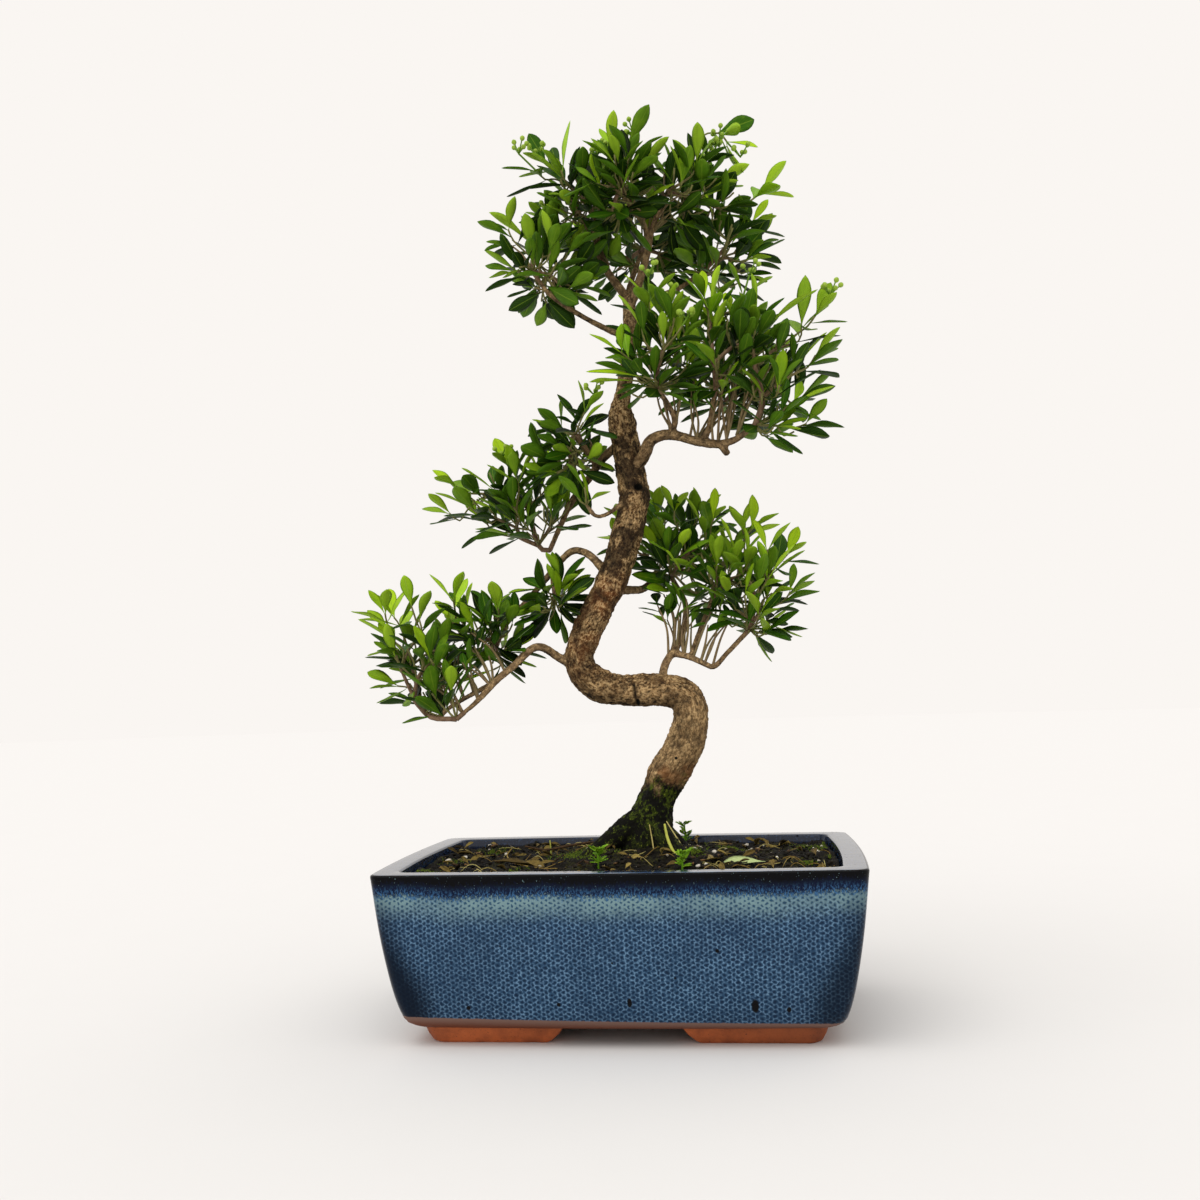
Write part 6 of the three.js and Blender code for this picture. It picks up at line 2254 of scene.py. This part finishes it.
@dataclass
class Litter:
    """Crumbs, bark chips, pebbles, bits of dead leaf, straws and a few longer stems on the soil."""

    finishes: Finishes
    pattern: LeafPattern
    random: RandomStream = field(default_factory=lambda: RandomStream(EXTRA_SEED + 2))
    flakes: int = 110
    straws: int = 120
    # Number, least and greatest half length, slot, and length, width and height as shares of it.
    lumps: tuple[tuple[int, float, float, int, Row], ...] = (
        (2600, 0.5, 1.5, LitterSlot.HUMUS, (1, 1, 0.8)), (160, 1.3, 3.4, LitterSlot.CHIP, (1, 0.55, 0.22)),
        (70, 0.8, 2.0, LitterSlot.PEBBLE, (1, 0.85, 0.7)),
    )
    stems: tuple[tuple[int, Rows], ...] = (
        (LitterSlot.STEM, ((21.9, -15.0, 109.0, 0.6), (23.6, -19.0, 101.6, 0.85), (26.2, -23.0, 95.9, 0.9),
                           (29.7, -27.0, 91.3, 0.9), (33.7, -30.0, 88.9, 0.8), (37.7, -32.0, 88.3, 0.4))),
        (LitterSlot.STRAW, ((22.6, -9.5, 110, 0.3), (28, -13, 101.6, 0.42), (33, -17, 94, 0.4),
                            (36, -19, 88.5, 0.35))),
        (LitterSlot.STRAW, ((13.2, -14.5, 108.8, 0.3), (14.6, -16.5, 101, 0.4), (16, -20, 92, 0.4),
                            (16.4, -21, 88, 0.35))),
        (LitterSlot.STEM, ((-48, 6, 98.5, 0.3), (-47.6, 6, 93, 0.4), (-47.4, 6, 86, 0.4))),
        (LitterSlot.STRAW, ((-66, -20, 97, 0.3), (-68, -23, 93, 0.4), (-60, -33, 90, 0.4),
                            (-46, -40, 88.5, 0.3), (-36, -43, 88.5, 0.3))),
        (LitterSlot.CHIP, ((-62, 0, 96, 0.5), (-50, 2, 93.5, 0.7), (-36, 4, 95.5, 0.8), (-24, 6, 97, 0.8))),
        (LitterSlot.CHIP, ((-34, -30, 94.5, 0.4), (-40, -34, 90, 0.5), (-30, -40, 88.5, 0.5),
                           (-22, -34, 92, 0.4))),
    )

    def build(self) -> None:
        """Makes the loose matter."""
        builder = MeshBuilder("soil_litter")
        ball = bmesh.new()
        bmesh.ops.create_icosphere(ball, subdivisions=1, radius=1.0)
        ball.verts.ensure_lookup_table()
        points = np.array([vert.co[:] for vert in ball.verts])
        faces = np.array([[vert.index for vert in face.verts] for face in ball.faces])
        ball.free()
        for count, least, most, slot, squash in self.lumps:
            for _ in range(count):
                size = self.random.between(least, most)
                builder.add(self.lump(points, size, squash), faces, slot, tone=self.random.next())
        for _ in range(self.straws):
            self.add_straw(builder)
        for _ in range(self.flakes):
            self.add_flake(builder)
        for slot, rows in self.stems:
            add_tube(builder, smooth_rows(rows, 1.5), 6, slot, self.random.next())
        names = ("humus", "bark_chip", "pebble", "straw", "dead_leaf", "yellow_stem")
        builder.build(self.finishes.take(*names))

    def spot(self) -> Array:
        """Draws a place on the soil."""
        half_x, half_y = POT.inside(3)
        return on_soil(self.random.between(-half_x, half_x), self.random.between(-half_y, half_y))

    def lump(self, ball: Array, size: float, squash: Row) -> Array:
        """Shapes one crumb, chip or pebble.

        Args:
            ball: The points of the ball that it starts from.
            size: Its half length.
            squash: Its length, width and height as shares of its size.

        Returns:
            Its points.
        """
        random = self.random
        points = ball * np.array([random.between(0.75, 1.2) for _ in ball])[:, None]
        points = points * np.array(squash) * size
        turns = [Matrix.Rotation(random.between(*limits), 3, axis)
                 for limits, axis in (((0, TURN), "Z"), ((-0.35, 0.35), "X"), ((-0.35, 0.35), "Y"))]
        turn = np.array(turns[0] @ turns[1] @ turns[2])
        return points @ turn.T + self.spot() + UP * (0.25 * size * squash[2])

    def add_flake(self, builder: MeshBuilder) -> None:
        """Adds one bit of dead leaf, lying or leaning.

        Args:
            builder: The builder that takes it.
        """
        random = self.random
        way = heading(random.between(0, TURN), random.between(-0.15, 0.9))
        upper = np.array((random.between(-0.7, 0.7), random.between(-0.9, 0.3), 1.0))
        blade = Blade(self.spot() + UP * random.between(0.4, 1.4), way, upper,
                      random.between(4, 11), "litter", random.between(0.1, 0.7))
        self.pattern.add(builder, blade, random, (LitterSlot.FLAKE, LitterSlot.FLAKE), curl=2.2)

    def add_straw(self, builder: MeshBuilder) -> None:
        """Adds one straw that arches over the soil.

        Args:
            builder: The builder that takes it.
        """
        random = self.random
        at, angle = self.spot()[:2], random.between(0, TURN)
        curve, arch = random.between(-0.12, 0.12), max(random.between(-4.0, 3.5), 0.0)
        stride = random.between(1.2, 3.2)
        rows = []
        for step in range(7):
            lift = 0.6 + arch * math.sin(step / 6 * math.pi)
            rows.append((*(on_soil(*at) + UP * lift), 0.2 if 0 < step < 6 else 0.08))
            angle += curve
            at = at + heading(angle)[:2] * stride
        line = np.array(rows)
        half = np.array(POT.inside(2))
        line[:, :2] = np.clip(line[:, :2], -half, half)
        add_tube(builder, line, 5, LitterSlot.STRAW, random.next())


@dataclass
class Moss:
    """Patches of short moss on the soil and the foot of the trunk."""

    finishes: Finishes
    patches: Rows = ((-30, -8, 22, 800), (-14, -20, 14, 260), (38, -12, 12, 160), (112, 46, 22, 900),
                     (-90, 40, 16, 200), (100, -30, 12, 110), (-110, -40, 12, 90), (20, 40, 30, 400),
                     (-60, -50, 12, 100), (60, 20, 20, 200), (-100, -10, 14, 120), (118, 0, 10, 140))
    wide: float = 0.28
    high: float = 1.9
    random: RandomStream = field(default_factory=lambda: RandomStream(EXTRA_SEED + 3))

    def build(self) -> None:
        """Makes the moss."""
        random, (half_x, half_y) = self.random, POT.inside(3)
        builder = MeshBuilder("soil_moss")
        for x, y, spread, count in self.patches:
            for _ in range(count):
                angle, reach = random.between(0, TURN), spread * random.next() * random.next()
                place = (min(max(x + reach * math.cos(angle), -half_x), half_x),
                         min(max(y + reach * math.sin(angle), -half_y), half_y))
                self.add_tuft(builder, on_soil(*place) - UP * 0.3)
        builder.build(self.finishes.take("moss"))

    def add_tuft(self, builder: MeshBuilder, root: Array) -> None:
        """Adds a tuft of four little blades.

        Args:
            builder: The builder that takes it.
            root: Its foot.
        """
        random = self.random
        for _ in range(4):
            lean = unit(UP + random.around(1.5) * (1, 1, 0.3))
            tip = root + lean * (self.high * random.between(0.6, 1.2))
            angle = random.between(0, TURN)
            ring = [root + random.around(0.4) + self.wide * heading(angle + k * 2.094) for k in range(3)]
            builder.add(np.array([*ring, tip]), [(0, 1, 3), (1, 2, 3), (2, 0, 3), (2, 1, 0)],
                        tone=random.next())


@dataclass
class DrainScreens:
    """The squares of mesh under the soil, which stay as the solids have them."""

    finishes: Finishes
    names: tuple[str, ...] = ("drain_screen_1", "drain_screen_2")

    def build(self) -> None:
        """Gives the squares their finish."""
        for name in self.names:
            screen = frame["nodes"][name]
            screen.data.materials.clear()
            screen.data.materials.append(self.finishes["screen_plastic"])
            log.info("%s dressed", name)


@dataclass
class Studio:
    """A plain pale floor, bright even surroundings, one soft sun from the upper left, and the camera."""

    eye: Row = (77.09, -736.89, 180.74)
    pitch: float = 4.528
    yaw: float = -6.983
    roll: float = -1.686
    lens: float = 37.683
    floor: Colour = (221, 220, 219)
    cloud: Colour = (220, 219, 218)
    surroundings: Row = (0.956, 0.922, 0.888, 1.0)
    floor_radius: float = 9.0
    sun_way: Row = (0.3, 0.6, -1.2)
    sun_strength: float = 1.4
    sun_spread: float = 60.0

    def build(self) -> None:
        """Makes the floor, the light and the camera."""
        self.make_floor()
        data = bpy.data.lights.new("sun", "SUN")
        data.energy, data.angle = self.sun_strength, math.radians(self.sun_spread)
        sun = bpy.data.objects.new("sun", data)
        sun.rotation_euler = Vector(self.sun_way).to_track_quat("-Z", "Y").to_euler()
        scene = bpy.context.scene
        scene.collection.objects.link(sun)
        world = bpy.data.worlds.new("studio")
        world.use_nodes = True
        world.node_tree.nodes["Background"].inputs["Color"].default_value = self.surroundings
        scene.world = world
        scene.view_settings.view_transform = "Standard"
        self.make_camera()

    def make_floor(self) -> None:
        """Makes a wide disc of floor."""
        s = Shader("floor")
        s.set(base_color=s.mix(s.noise(60, 2), self.floor, self.cloud), roughness=1.0, specular_ior_level=0.0)
        builder = MeshBuilder("floor")
        angles = np.arange(64) / 64 * 2 * math.pi
        disc = np.column_stack([np.cos(angles), np.sin(angles), np.zeros(64)]) * self.floor_radius / MM
        builder.add(disc - SHIFT, np.arange(64))
        builder.build([s.material])

    def make_camera(self) -> None:
        """Makes the camera where the photograph was taken from."""
        data = bpy.data.cameras.new("camera")
        data.lens, data.sensor_width, data.clip_start = self.lens, 36.0, 0.02
        pitch, yaw, roll = (math.radians(angle) for angle in (self.pitch, self.yaw, self.roll))
        ahead = np.array((math.sin(yaw) * math.cos(pitch), math.cos(yaw) * math.cos(pitch), math.sin(pitch)))
        level = np.array((math.cos(yaw), -math.sin(yaw), 0.0))
        above = np.cross(level, ahead)
        right = level * math.cos(roll) + above * math.sin(roll)
        top = above * math.cos(roll) - level * math.sin(roll)
        axes = Matrix(np.column_stack([right, top, -ahead]).tolist()).to_4x4()
        axes.translation = Vector((np.array(self.eye) + SHIFT) * MM)
        camera = bpy.data.objects.new("camera", data)
        camera.matrix_world = axes
        bpy.context.scene.collection.objects.link(camera)
        bpy.context.scene.camera = camera


def main() -> None:
    """Builds every piece in order."""
    logging.basicConfig(level=logging.INFO, format="%(message)s")
    Studio().build()
    finishes = Finishes()
    pot = Pot(finishes)
    pot.build()
    Soil(finishes, pot).build()
    DrainScreens(finishes).build()
    Wood(finishes).build()
    foliage = Foliage(finishes)
    FlowerBuds(finishes, foliage).build()
    Weeds(finishes, foliage).build()
    foliage.build()
    FallenLeaves(finishes, foliage).build()
    Litter(finishes, foliage.pattern).build()
    Moss(finishes).build()


if __name__ == "__main__":
    main()
